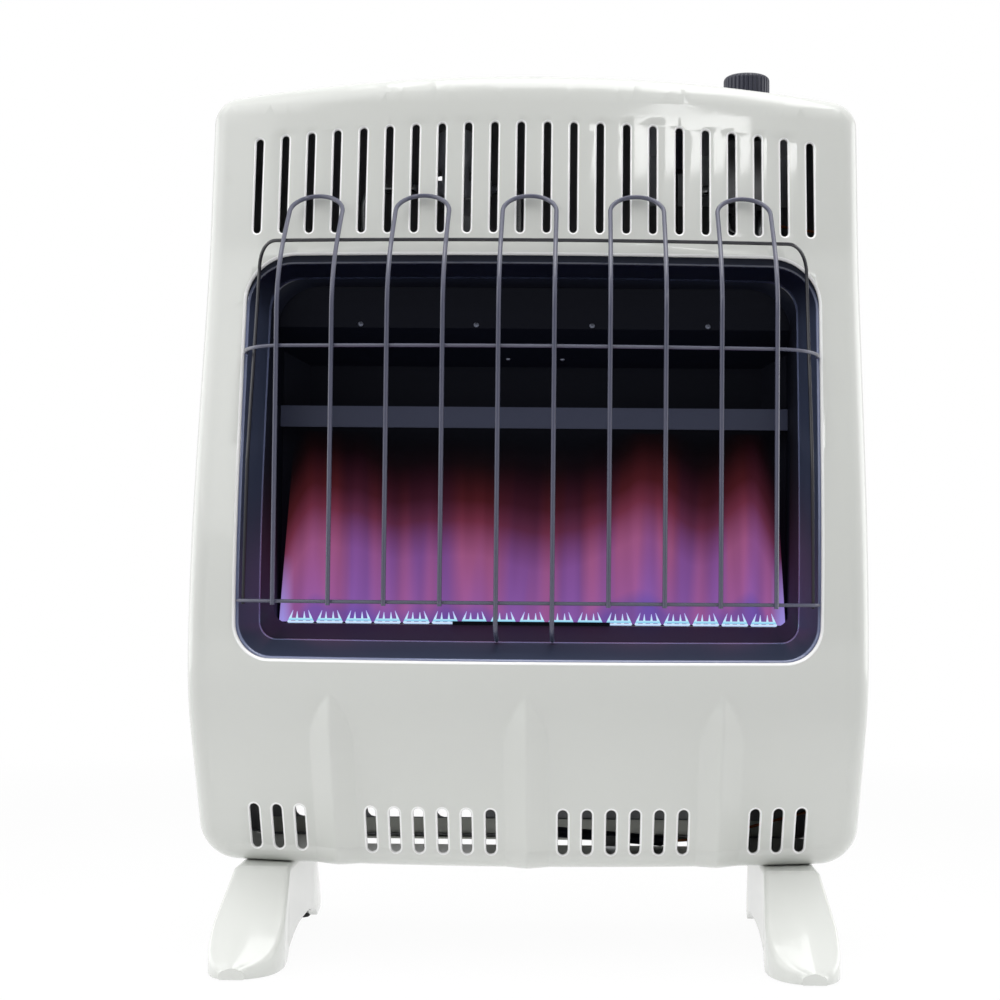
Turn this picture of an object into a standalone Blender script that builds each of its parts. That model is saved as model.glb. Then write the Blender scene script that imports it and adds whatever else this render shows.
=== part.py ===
"""Free-standing blue-flame gas room heater.

Metres, +Z up, front towards -Y, +X to the right seen from the front.
Sizes that run from the wall forwards are called depths: depth 0 is the back
of the casing, and y_at turns a depth into the part's own Y.
"""

import math

import bmesh
import bpy
from mathutils import Matrix, Vector

# Casing: a pressed shell, arched on top and bellied in front
BODY_WIDTH = 0.470
FLOOR_CLEARANCE = 0.0636
BODY_TOP_Z = 0.6305
TOP_ARCH_RADIUS = 1.60
TOP_CORNER_RADIUS = 0.020
BOTTOM_CORNER_RADIUS = 0.028
EDGE_RADIUS = 0.013
SHEET = 0.0012
GAP = 0.0003

# Front profile, as depths against heights
SHOULDER_Z = 0.500
SHOULDER_DEPTH = 0.140
UPPER_LEAN = math.radians(6.5)
SHOULDER_LEAN = math.radians(16.7)
BELLY_Z = 0.215
BELLY_DEPTH = 0.2075
SKIRT_TOP_Z = 0.160
SKIRT_TOP_DEPTH = 0.195
SKIRT_LEAN = math.radians(27.5)
UPPER_BOW = 0.011
BOW = 0.0235
BOW_HALF_SPAN = 0.200

# Three ribs pressed into the skirt
RIB_SPACING = 0.133
RIB_TIP_Z = 0.187
RIB_FULL_Z = 0.152
RIB_HEIGHT = 0.008
RIB_HALF_WIDTH = 0.0145

# Window in the front
WINDOW_HALF_WIDTH = 0.1993
WINDOW_SPREAD = 0.0052
WINDOW_BOTTOM_Z = 0.2105
WINDOW_TOP_Z = 0.4955
WINDOW_TOP_CORNER = 0.034
WINDOW_BOTTOM_CORNER = 0.024

# Warm air slots above the window
UPPER_SLOTS = 22
UPPER_SLOT_PITCH = 0.01895
UPPER_SLOT_WIDTH = 0.0052
UPPER_SLOT_BOTTOM_Z = 0.512
UPPER_SLOT_TOP_Z = 0.594
UPPER_SLOT_ARCH_RADIUS = 1.65

# Air intake slots in the skirt
LOWER_SLOT_WIDTH = 0.0068
LOWER_SLOT_BOTTOM_Z = 0.0742
LOWER_SLOT_TOP_Z = 0.1070
MIDDLE_SLOTS = 6
MIDDLE_SLOT_START = 0.0249
MIDDLE_SLOT_PITCH = 0.0167
WING_SLOTS = 3
WING_SLOT_START = 0.1587
WING_SLOT_PITCH = 0.0165

# Opening in the floor of the casing, open towards the wall
FLOOR_NOTCH_HALF_WIDTH = 0.150
FLOOR_NOTCH_DEPTH = 0.048

# Rear panel, a shallow pan inside the casing
REAR_PAN_FLANGE = 0.006
REAR_WINDOWS = ((-0.185, -0.134), (-0.129, -0.0798), (-0.0748, -0.0385))
REAR_WINDOW_Z = (0.0785, 0.138)
REAR_WINDOW_CORNER = 0.006
KEYHOLE_X = BODY_WIDTH / 2 - 0.075
KEYHOLE_Z = 0.474
KEYHOLE_HEAD_RADIUS = 0.0065
KEYHOLE_NECK_HALF_WIDTH = 0.0028
KEYHOLE_NECK_TOP_Z = 0.486
VENT_HOLE_X = -0.0772
VENT_HOLE_Z = 0.5771
VENT_HOLE_RADIUS = 0.005
COOLING_SLOTS = 8
COOLING_SLOT_PITCH = 0.020
COOLING_SLOT_WIDTH = 0.006
COOLING_SLOT_Z = (0.240, 0.286)

# Rail across the foot of the rear panel
RAIL_HALF_LENGTH = 0.204
RAIL_HEIGHT = 0.0112
RAIL_DEPTH = 0.010

# Window bezel, a drawn black frame behind the window
BEZEL_SHEET = 0.0010
BEZEL_FLANGE = 0.008
BEZEL_BACKOFF = 0.0009
BEZEL_SETBACK = 0.004
BEZEL_LIP = 0.001
BEZEL_BAND = 0.012
BEZEL_BAND_DEPTH = 0.030
MOUTH_DEPTH = 0.098
MOUTH_HALF_WIDTH = 0.188
MOUTH_BOTTOM_Z = 0.2314
MOUTH_TOP_Z = 0.4785
MOUTH_TOP_CORNER = 0.032
MOUTH_BOTTOM_CORNER = 0.012

# Firebox, behind the mouth of the bezel
FIREBOX_SHEET = 0.0010
FIREBOX_HALF_WIDTH = 0.1905
FIREBOX_FRONT_DEPTH = MOUTH_DEPTH - GAP * 2
FIREBOX_BACK_DEPTH = 0.040
FIREBOX_FLOOR_Z = 0.200
FIREBOX_LIP_Z = 0.2298
FIREBOX_TOP_Z = 0.4812
FIREBOX_BACK_TOP_Z = 0.427
FIREBOX_BROW = 0.003
HOOD_DEPTH = 0.087
HOOD_Z = 0.4505
FIREBOX_CORNER = 0.018
FIREBOX_BRACKET_X = 0.110
FIREBOX_BRACKET_WIDTH = 0.040
FIREBOX_BRACKET_Z = (0.300, 0.330)

# Deflector bar across the firebox
DEFLECTOR_Z = (0.3773, 0.3930)
DEFLECTOR_DEPTH = (0.060, 0.072)
DEFLECTOR_SHEET = 0.0015

# Burner
BURNER_HALF_LENGTH = 0.1865
BURNER_DEPTH = (0.060, 0.086)
BURNER_Z = (0.2050, 0.2310)
BURNER_EDGE = 0.003
PORT_GROUPS = 17
PORT_GROUP_PITCH = 0.0215
PORT_GROUP_LENGTH = 0.0175
PORT_WIDTH = 0.0080
PORT_DEPTH = 0.0025
BURNER_FOOT_X = 0.150
BURNER_FOOT_LENGTH = 0.016
MIXER_RADIUS = 0.0105
MIXER_THROAT = 0.0075
MIXER_MOUTH_RADIUS = 0.0150
MIXER_Z = 0.166
MIXER_MOUTH_X = 0.168
MIXER_RISER_X = -0.085
MIXER_BEND = 0.018
MIXER_BORE_DEPTH = 0.030
MIXER_HOLE = 0.0115

# Injector and its bracket
INJECTOR_X = (0.176, 0.196)
INJECTOR_RADIUS = 0.0070
NOZZLE_LENGTH = 0.005
NOZZLE_RADIUS = 0.0030
INJECTOR_PLATE_X = 0.1855
INJECTOR_PLATE_BOTTOM_Z = 0.150

# Pilot
PILOT_DEPTH = 0.0905
PILOT_SHIELD_HALF_WIDTH = 0.0575
PILOT_SHIELD_DEPTH = (0.0949, 0.0959)
PILOT_SHIELD_TOP_Z = 0.2339
PILOT_PLATE_Z = 0.2100
PILOT_PLATE_HALF_WIDTH = 0.022
PILOT_SPACING = 0.012
PILOT_TUBE_RADIUS = 0.0026
PILOT_FOOT_Z = 0.190
PILOT_TOP_Z = 0.2285
ELECTRODE_TOP_Z = 0.2200
ELECTRODE_TIP_RADIUS = 0.0009
THERMOCOUPLE_RADIUS = 0.0024

# Wire guard
HAIRPINS = 5
LEG_PITCH = 0.0379
HAIRPIN_WIRE = 0.0016
RAIL_WIRE = 0.00125
GUARD_FRONT_DEPTH = 0.2010
GUARD_TIP_STANDOFF = 0.0031
GUARD_BOW = 0.008
GUARD_BEND_START_Z = 0.448
GUARD_BEND_END_Z = 0.503
GUARD_TOP_Z = 0.538
GUARD_LEAN = 1.0
TOP_RAIL_Z = 0.5015
MID_RAIL_Z = 0.4236
BOTTOM_RAIL_Z = 0.2495
FRAME_HALF_WIDTH = 0.1945
FRAME_CORNER = 0.016
FRAME_STANDOFF = 0.0060
RAIL_STRAIGHT = 0.166
RAIL_INSET = 0.0017
RAIL_SETBACK = 0.0032
LEG_END = 0.0025
HOOK_Z = 0.2300
HOOK_DEPTH = 0.178

# Control knob and valve, under the top on the right
KNOB_X = BODY_WIDTH / 2 - 0.077
KNOB_DEPTH = 0.065
KNOB_RADIUS = 0.01725
KNOB_TOP_Z = 0.6445
KNOB_HEIGHT = 0.027
KNOB_CLEARANCE = 0.0015
KNOB_FLUTES = 24
KNOB_FLUTE_DEPTH = 0.0008
KNOB_CHAMFER = 0.0016
KNOB_WALL = 0.0025
KNOB_CROWN = 0.006
HUB_RADIUS = 0.0060
KNOB_TRAVEL = 0.0045
STEM_RADIUS = 0.0030
STEM_IN_KNOB = 0.012
STEM_BOTTOM_Z = 0.5980
PLUG_RADIUS = 0.0062
PLUG_TOP_Z = 0.6100
PLUG_BOTTOM_Z = 0.5880
VALVE_NECK_RADIUS = 0.0095
VALVE_NECK_TOP_Z = 0.6060
VALVE_HALF_WIDTH = 0.023
VALVE_HALF_DEPTH = 0.022
VALVE_Z = (0.543, 0.593)
NUT_RADIUS = 0.0135
NUT_HEIGHT = 0.0045

# Panel that carries the valve and the igniter
PANEL_Z = 0.5990
PANEL_SHEET = 0.0015
PANEL_X = (KNOB_X - 0.074, KNOB_X + 0.038)
PANEL_FRONT_DEPTH = 0.096
PANEL_FLANGE = 0.040

# Igniter
IGNITER_X = KNOB_X - 0.053
IGNITER_RADIUS = 0.0090
IGNITER_BOTTOM_Z = 0.5730
IGNITER_TOP_Z = 0.6302
BUTTON_RADIUS = 0.0065
BUTTON_PROUD = 0.0070
BUTTON_LENGTH = 0.018
IGNITER_TRAVEL = 0.0060

# Gas train
REGULATOR_X = -0.0613
REGULATOR_DEPTH = 0.055
REGULATOR_BOSS_Z = 0.5605
REGULATOR_CAN_RADIUS = 0.0140
REGULATOR_CAN_Z = (0.5740, 0.6040)
REGULATOR_HALF_WIDTH = 0.010
REGULATOR_BOTTOM_Z = 0.552
REGULATOR_BOSS_RADIUS = 0.0062
REGULATOR_BOSS_REACH = 0.027
PIPE_RADIUS = 0.0040
THIN_PIPE_RADIUS = 0.0020
LEAD_RADIUS = 0.0015
CAPILLARY_RADIUS = 0.0011
INLET_X = -0.130
INLET_DEPTH = 0.020
INLET_Z = (0.168, 0.196)
INLET_RADIUS = 0.0088
INLET_BORE = 0.0045
INLET_PLATE_Z = 0.180

# Routes of the pipes and leads
PIPE_BEND = 0.009
INLET_PIPE_Z = (0.500, 0.525)
SUPPLY_PIPE_X = (-0.014, KNOB_X - 0.0385)
SUPPLY_PIPE_Z = 0.505
BURNER_PIPE_START = (KNOB_X + 0.012, 0.066, 0.520)
BURNER_PIPE_X = (FIREBOX_HALF_WIDTH + BODY_WIDTH / 2) / 2 - 0.00125
BURNER_PIPE_Z = (0.495, 0.300)
PILOT_PIPE_START = (KNOB_X - 0.012, 0.056, 0.530)
PILOT_PIPE_X = FIREBOX_HALF_WIDTH + 0.014
PILOT_PIPE_DEPTH = 0.052
PILOT_PIPE_Z = (0.505, 0.1835)
IGNITION_LEAD_X = FIREBOX_HALF_WIDTH + 0.0075
IGNITION_LEAD_DEPTH = (0.088, 0.096)
IGNITION_LEAD_Z = (0.525, 0.500, 0.1875, 0.1855)
THERMO_LEAD_X = (KNOB_X + 0.018, BODY_WIDTH / 2 - 0.0105)
THERMO_LEAD_DEPTH = (0.078, 0.090, 0.100)
THERMO_LEAD_Z = (0.530, 0.520, 0.1790, 0.1850)
CAPILLARY_X = (KNOB_X + 0.006, BODY_WIDTH / 2 - 0.0128, 0.130)
CAPILLARY_DEPTH = 0.046
CAPILLARY_Z = (0.520, 0.500, 0.0950, 0.0715)

# Thermostat bulb in the cool air intake
BULB_RADIUS = 0.0040
BULB_X = (0.018, 0.102)
BULB_Z = (0.0758, 0.0695)
BULB_DEPTH = 0.055
CLIP_X = (0.055, 0.065)
CLIP_SHEET = 0.0012

# Feet
FOOT_X = 0.1850
FOOT_SPLAY = 0.005
FOOT_TOP_Z = 0.0633
FOOT_SEAT_DEPTH = (0.030, 0.146)
FOOT_TOE_DEPTH = 0.218
FOOT_HEEL_DEPTH = -0.036
FOOT_TOP_HALF_WIDTH = 0.0198
FOOT_TOE_HALF_WIDTH = 0.0255
FOOT_HEEL_HALF_WIDTH = 0.0150
FOOT_BOTTOM_Z = 0.0010
FOOT_ARCH_Z = 0.0165
FOOT_EDGE = 0.003
FOOT_HOLLOW_HALF_WIDTH = 0.0145
FOOT_CROWN = 0.005
PAD_THICKNESS = 0.0040
PAD_HALF_SIZE = (0.016, 0.018)
HEEL_PAD_HALF_WIDTH = 0.011
TOE_PAD_DEPTH = 0.180
HEEL_PAD_DEPTH = -0.015

# The wall plane, with the feet's reach centred on the origin
WALL_Y = (FOOT_TOE_DEPTH + FOOT_HEEL_DEPTH) / 2


def y_at(depth):
    return WALL_Y - depth


def clear_scene():
    for old in list(bpy.data.objects):
        bpy.data.objects.remove(old, do_unlink=True)


def new_collection(name):
    made = bpy.data.collections.new(name)
    bpy.context.scene.collection.children.link(made)
    return made


clear_scene()
PARTS = new_collection("gas_heater")
CUTTERS = new_collection("cutters")


def material(name, colour, roughness, metallic=0.0):
    made = bpy.data.materials.new(name)
    made.use_nodes = True
    shader = made.node_tree.nodes["Principled BSDF"]
    shader.inputs["Base Color"].default_value = (*colour, 1.0)
    shader.inputs["Roughness"].default_value = roughness
    shader.inputs["Metallic"].default_value = metallic
    return made


CREAM = material("cream_powder_coat", (0.72, 0.74, 0.70), 0.28)
BLACK = material("black_enamel", (0.020, 0.021, 0.030), 0.35)
GREY = material("grey_primer", (0.16, 0.16, 0.165), 0.5)
WIRE = material("guard_wire", (0.045, 0.047, 0.065), 0.40)
HOT_STEEL = material("aluminised_steel", (0.30, 0.29, 0.28), 0.50, 1.0)
ZINC = material("zinc_plated_steel", (0.55, 0.56, 0.57), 0.38, 1.0)
BRASS = material("brass", (0.70, 0.52, 0.22), 0.32, 1.0)
ALUMINIUM = material("aluminium_tube", (0.70, 0.71, 0.72), 0.30, 1.0)
DIE_CAST = material("die_cast_zinc", (0.60, 0.60, 0.60), 0.45, 1.0)
COPPER = material("copper", (0.72, 0.38, 0.24), 0.30, 1.0)
CERAMIC = material("white_ceramic", (0.82, 0.80, 0.75), 0.35)
KNOB_PLASTIC = material("black_plastic", (0.018, 0.018, 0.020), 0.42)
RUBBER = material("black_rubber", (0.015, 0.015, 0.015), 0.80)
LEAD = material("silicone_lead", (0.03, 0.03, 0.03), 0.60)


def add_object(name, mesh, finish, collection=None):
    made = bpy.data.objects.new(name, mesh)
    (collection or PARTS).objects.link(made)
    if finish:
        mesh.materials.append(finish)
    return made


def from_bmesh(name, bm, finish, collection=None, smooth=False):
    bmesh.ops.recalc_face_normals(bm, faces=bm.faces)
    mesh = bpy.data.meshes.new(name)
    bm.to_mesh(mesh)
    bm.free()
    if smooth:
        mesh.shade_smooth()
        mesh.set_sharp_from_angle(angle=math.radians(35))
    return add_object(name, mesh, finish, collection)


def cutter(name, bm):
    made = from_bmesh(name, bm, None, CUTTERS)
    made.hide_render = True
    made.display_type = "WIRE"
    return made


def cut(target, tool, operation="DIFFERENCE"):
    step = target.modifiers.new(tool.name, "BOOLEAN")
    step.operation = operation
    step.solver = "EXACT"
    step.object = tool


def solidify(target, thickness, offset=-1.0):
    step = target.modifiers.new("wall", "SOLIDIFY")
    step.thickness = thickness
    step.offset = offset
    step.use_even_offset = True


def add_box(bm, xs, depths, zs):
    """A box between two X, two depths and two heights."""
    centre = Vector((sum(xs) / 2, y_at(sum(depths) / 2), sum(zs) / 2))
    size = Vector((abs(xs[1] - xs[0]), abs(depths[1] - depths[0]), abs(zs[1] - zs[0])))
    return bmesh.ops.create_cube(
        bm, matrix=Matrix.Translation(centre) @ Matrix.Diagonal((*size, 1.0))
    )["verts"]


def add_rod(bm, start, end, radius, sides=16, end_radius=None):
    """A round bar between two points."""
    start, end = Vector(start), Vector(end)
    along = end - start
    turn = along.to_track_quat("Z", "Y").to_matrix().to_4x4()
    return bmesh.ops.create_cone(
        bm,
        cap_ends=True,
        segments=sides,
        radius1=radius,
        radius2=radius if end_radius is None else end_radius,
        depth=along.length,
        matrix=Matrix.Translation((start + end) / 2) @ turn,
    )["verts"]


def box(name, xs, depths, zs, finish, edge=0.0):
    bm = bmesh.new()
    add_box(bm, xs, depths, zs)
    if edge:
        bmesh.ops.bevel(
            bm, geom=bm.edges[:], offset=edge, segments=1, profile=0.5, affect="EDGES"
        )
    return from_bmesh(name, bm, finish)


def rod(name, start, end, radius, finish, sides=16):
    bm = bmesh.new()
    add_rod(bm, start, end, radius, sides)
    return from_bmesh(name, bm, finish, smooth=True)


def extrude_profile(name, profile, xs, finish, collection=None):
    """A closed outline of (depth, z) points drawn out between two X."""
    bm = bmesh.new()
    face = bm.faces.new([bm.verts.new((xs[0], y_at(d), z)) for d, z in profile])
    drawn = bmesh.ops.extrude_face_region(bm, geom=[face])["geom"]
    moved = [v for v in drawn if isinstance(v, bmesh.types.BMVert)]
    bmesh.ops.translate(bm, verts=moved, vec=(xs[1] - xs[0], 0, 0))
    return from_bmesh(name, bm, finish, collection)


def tube(name, points, radius, finish, resolution=2, radii=None):
    """A round wire or pipe along its points, with closed ends."""
    curve = bpy.data.curves.new(name, "CURVE")
    curve.dimensions = "3D"
    curve.bevel_depth = radius
    curve.bevel_resolution = resolution
    curve.use_fill_caps = True
    spline = curve.splines.new("POLY")
    spline.points.add(len(points) - 1)
    for index, point in enumerate(points):
        spline.points[index].co = (*point, 1.0)
        if radii:
            spline.points[index].radius = radii[index] / radius
    curve.materials.append(finish)
    made = bpy.data.objects.new(name, curve)
    PARTS.objects.link(made)
    return made


def to_mesh(curve_object):
    """The tube as a mesh object of the same name, ready for a Boolean."""
    bpy.context.view_layer.update()
    graph = bpy.context.evaluated_depsgraph_get()
    mesh = bpy.data.meshes.new_from_object(curve_object.evaluated_get(graph))
    bm = bmesh.new()
    bm.from_mesh(mesh)
    bmesh.ops.remove_doubles(bm, verts=bm.verts, dist=0.00001)
    bm.to_mesh(mesh)
    bm.free()
    name = curve_object.name
    place = curve_object.matrix_world.copy()
    bpy.data.objects.remove(curve_object, do_unlink=True)
    mesh.name = name
    made = bpy.data.objects.new(name, mesh)
    made.matrix_world = place
    PARTS.objects.link(made)
    return made


def bent_path(corners, bend, steps=4):
    """A route through its corners, each turned with an arc."""
    corners = [Vector(c) for c in corners]
    route = [corners[0]]
    for before, corner, after in zip(corners, corners[1:], corners[2:]):
        back = (before - corner).normalized()
        on = (after - corner).normalized()
        half = back.angle(on) / 2
        reach = bend / math.tan(half)
        centre = corner + (back + on).normalized() * (bend / math.sin(half))
        first = (corner + back * reach - centre).normalized()
        last = (corner + on * reach - centre).normalized()
        for step in range(steps + 1):
            route.append(centre + first.slerp(last, step / steps) * bend)
    route.append(corners[-1])
    return route


def arc_points(centre_x, centre_z, radius, start, end, steps):
    return [
        (
            centre_x + radius * math.cos(start + (end - start) * k / steps),
            centre_z + radius * math.sin(start + (end - start) * k / steps),
        )
        for k in range(steps + 1)
    ]


def hermite(t, start, end, start_slope, end_slope, span):
    """Cubic between two depths; the slopes are per metre along the span."""
    return (
        start * (2 * t**3 - 3 * t**2 + 1)
        + end * (3 * t**2 - 2 * t**3)
        + span * start_slope * (t**3 - 2 * t**2 + t)
        + span * end_slope * (t**3 - t**2)
    )


def profile_depth(z):
    """How far the middle of the front stands from the wall at a height."""
    if z >= SHOULDER_Z:
        return SHOULDER_DEPTH - (z - SHOULDER_Z) * math.tan(UPPER_LEAN)
    if z >= BELLY_Z:
        span = SHOULDER_Z - BELLY_Z
        return hermite(
            (SHOULDER_Z - z) / span,
            SHOULDER_DEPTH,
            BELLY_DEPTH,
            math.tan(SHOULDER_LEAN),
            0.0,
            span,
        )
    if z >= SKIRT_TOP_Z:
        span = BELLY_Z - SKIRT_TOP_Z
        return hermite(
            (BELLY_Z - z) / span,
            BELLY_DEPTH,
            SKIRT_TOP_DEPTH,
            0.0,
            -math.tan(SKIRT_LEAN),
            span,
        )
    return SKIRT_TOP_DEPTH - (SKIRT_TOP_Z - z) * math.tan(SKIRT_LEAN)


def bow_at(z):
    """How far the sides fall back: a little on the upper face, most from the belly down."""
    t = min(1.0, max(0.0, (SHOULDER_Z - z) / (SHOULDER_Z - BELLY_Z)))
    return UPPER_BOW + (BOW - UPPER_BOW) * t * (2 - t)


def rib_height(x, z):
    rise = (RIB_TIP_Z - z) / (RIB_TIP_Z - RIB_FULL_Z)
    rise = min(1.0, max(0.0, rise))
    crest = RIB_HEIGHT * rise * (2 - rise)
    aside = min(abs(x - k * RIB_SPACING) for k in (-1, 0, 1))
    return max(0.0, crest - aside * RIB_HEIGHT / RIB_HALF_WIDTH)


def front_depth(x, z):
    """Outer face of the casing's front."""
    bow = bow_at(z) * (x / BOW_HALF_SPAN) ** 2
    return profile_depth(z) - bow + rib_height(x, z)


def smooth_front_depth(x, z):
    """The same face without the ribs."""
    return front_depth(x, z) - rib_height(x, z)


ARCH_CENTRE_Z = BODY_TOP_Z - TOP_ARCH_RADIUS
TOP_CORNER_X = BODY_WIDTH / 2 - TOP_CORNER_RADIUS
TOP_CORNER_Z = ARCH_CENTRE_Z + math.sqrt(
    (TOP_ARCH_RADIUS - TOP_CORNER_RADIUS) ** 2 - TOP_CORNER_X**2
)
TOP_CORNER_TURN = math.atan2(TOP_CORNER_Z - ARCH_CENTRE_Z, TOP_CORNER_X)
BOTTOM_CORNER_X = BODY_WIDTH / 2 - BOTTOM_CORNER_RADIUS
BOTTOM_CORNER_Z = FLOOR_CLEARANCE + BOTTOM_CORNER_RADIUS


def top_z(x):
    """Outer face of the arched top."""
    return ARCH_CENTRE_Z + math.sqrt(TOP_ARCH_RADIUS**2 - x**2)


def casing_outline(inset, arch_steps=10):
    """The casing seen from the front, drawn in by an inset, anticlockwise from the right side."""
    right_top = arc_points(
        TOP_CORNER_X, TOP_CORNER_Z, TOP_CORNER_RADIUS - inset, 0, TOP_CORNER_TURN, 4
    )
    arch = arc_points(
        0,
        ARCH_CENTRE_Z,
        TOP_ARCH_RADIUS - inset,
        TOP_CORNER_TURN,
        math.pi - TOP_CORNER_TURN,
        arch_steps,
    )
    left_top = [(-x, z) for x, z in reversed(right_top)]
    left_bottom = arc_points(
        -BOTTOM_CORNER_X,
        BOTTOM_CORNER_Z,
        BOTTOM_CORNER_RADIUS - inset,
        math.pi,
        1.5 * math.pi,
        4,
    )
    right_bottom = [(-x, z) for x, z in reversed(left_bottom)]
    return right_top + arch[1:-1] + left_top + left_bottom + right_bottom


def outward(x, z):
    """Unit direction out of the casing's outline, in X and Z."""
    side = 1 if x > 0 else -1
    if z < BOTTOM_CORNER_Z:
        if abs(x) <= BOTTOM_CORNER_X:
            return Vector((0, -1))
        return Vector((x - side * BOTTOM_CORNER_X, z - BOTTOM_CORNER_Z)).normalized()
    if z <= TOP_CORNER_Z:
        return Vector((side, 0))
    from_corner = Vector((abs(x) - TOP_CORNER_X, z - TOP_CORNER_Z))
    if math.atan2(from_corner.y, from_corner.x) < TOP_CORNER_TURN:
        return Vector((side * from_corner.x, from_corner.y)).normalized()
    return Vector((x, z - ARCH_CENTRE_Z)).normalized()


def split_sheet(bm, place, normal, faces=None):
    chosen = faces or bm.faces[:]
    geom = set(chosen)
    for face in chosen:
        geom.update(face.edges)
        geom.update(face.verts)
    bmesh.ops.bisect_plane(bm, geom=list(geom), plane_co=place, plane_no=normal)


def casing_surface():
    """Outer skin: a sheet split on lines, pushed to its depth, then drawn round into the walls."""
    bm = bmesh.new()
    bm.faces.new([bm.verts.new((x, 0, z)) for x, z in casing_outline(EDGE_RADIUS)])
    for x in (-0.17, -0.105, -0.0665, -0.03, 0.03, 0.0665, 0.105, 0.17):
        split_sheet(bm, (x, 0, 0), (1, 0, 0))
    for z in (0.56, SHOULDER_Z, 0.465, 0.43, 0.395, 0.36, 0.325, 0.29, 0.255, BELLY_Z, 0.200):
        split_sheet(bm, (0, 0, z), (0, 0, 1))
    split_sheet(bm, (0, 0, RIB_TIP_Z), (0, 0, 1))

    def skirt_faces():
        return [f for f in bm.faces if f.calc_center_median().z < RIB_TIP_Z]

    for k in (-1, 0, 1):
        for aside in (-1, -0.5, 0, 0.5, 1):
            place = (k * RIB_SPACING + aside * RIB_HALF_WIDTH, 0, 0)
            split_sheet(bm, place, (1, 0, 0), skirt_faces())
    rise = RIB_TIP_Z - RIB_FULL_Z
    for z in (RIB_TIP_Z - rise / 6, RIB_TIP_Z - rise / 3, RIB_TIP_Z - rise * 2 / 3, RIB_FULL_Z):
        split_sheet(bm, (0, 0, z), (0, 0, 1), skirt_faces())
    for v in bm.verts:
        v.co.y = y_at(front_depth(v.co.x, v.co.z))
    base = {}
    rim = [e for e in bm.edges if e.is_boundary]
    for edge in rim:
        for v in edge.verts:
            base[v] = (v.co.copy(), outward(v.co.x, v.co.z))
    turns = [math.radians(a) for a in (30, 60, 90)]
    for turn in turns + [None]:
        drawn = bmesh.ops.extrude_edge_only(bm, edges=rim)["geom"]
        fresh = [g for g in drawn if isinstance(g, bmesh.types.BMVert)]
        rim = [g for g in drawn if isinstance(g, bmesh.types.BMEdge)]
        grown = {}
        for v in fresh:
            root = next(e.other_vert(v) for e in v.link_edges if e.other_vert(v) in base)
            grown[v] = base[root]
        base = grown
        for v, (foot, out) in base.items():
            reach = EDGE_RADIUS * (math.sin(turn) if turn else 1)
            v.co.x = foot.x + out.x * reach
            v.co.z = foot.z + out.y * reach
            v.co.y = foot.y + EDGE_RADIUS * (1 - math.cos(turn)) if turn else y_at(0)
        rim = [e for e in rim if e.is_boundary]
    return bm


def rounded_rect(half_width, bottom, top, top_corner, bottom_corner, sides=6, steps=5):
    """A rounded oblong in X and Z with the same number of points whatever its size."""
    x = half_width - top_corner
    right = [
        (half_width, bottom + bottom_corner + (top - top_corner - bottom - bottom_corner) * k / sides)
        for k in range(1, sides)
    ]
    corner = arc_points(x, top - top_corner, top_corner, 0, math.pi / 2, steps)
    over = [(x - 2 * x * k / sides, top) for k in range(1, sides)]
    low = half_width - bottom_corner
    turn = arc_points(-low, bottom + bottom_corner, bottom_corner, math.pi, 1.5 * math.pi, steps)
    under = [(-low + 2 * low * k / sides, bottom) for k in range(1, sides)]
    left_corner = [(-px, pz) for px, pz in reversed(corner)]
    left = [(-px, pz) for px, pz in reversed(right)]
    right_turn = [(-px, pz) for px, pz in reversed(turn)]
    return right + corner + over + left_corner + left + turn + under + right_turn


def window_half_width(z):
    return WINDOW_HALF_WIDTH + WINDOW_SPREAD * (z - WINDOW_BOTTOM_Z) / (WINDOW_TOP_Z - WINDOW_BOTTOM_Z)


def window_outline(grow=0.0, sides=6):
    """The window's edge, which widens a little upwards, moved outwards by an offset."""
    loop = rounded_rect(
        WINDOW_HALF_WIDTH + grow,
        WINDOW_BOTTOM_Z - grow,
        WINDOW_TOP_Z + grow,
        WINDOW_TOP_CORNER + grow,
        WINDOW_BOTTOM_CORNER + grow,
        sides=sides,
    )
    return [(x * window_half_width(z) / WINDOW_HALF_WIDTH, z) for x, z in loop]


def slot_outline(x, bottom, top, width, steps=4):
    radius = width / 2
    upper = arc_points(x, top - radius, radius, 0, math.pi, steps)
    lower = arc_points(x, bottom + radius, radius, math.pi, 2 * math.pi, steps)
    return upper + lower


def add_prism(bm, outline, depths):
    """An (x, z) outline drawn out between two depths."""
    face = bm.faces.new([bm.verts.new((x, y_at(depths[0]), z)) for x, z in outline])
    drawn = bmesh.ops.extrude_face_region(bm, geom=[face])["geom"]
    moved = [v for v in drawn if isinstance(v, bmesh.types.BMVert)]
    bmesh.ops.translate(bm, verts=moved, vec=(0, depths[0] - depths[1], 0))


def upper_slot_top(x):
    radius = UPPER_SLOT_ARCH_RADIUS
    return UPPER_SLOT_TOP_Z - radius + math.sqrt(radius**2 - x**2)


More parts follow.
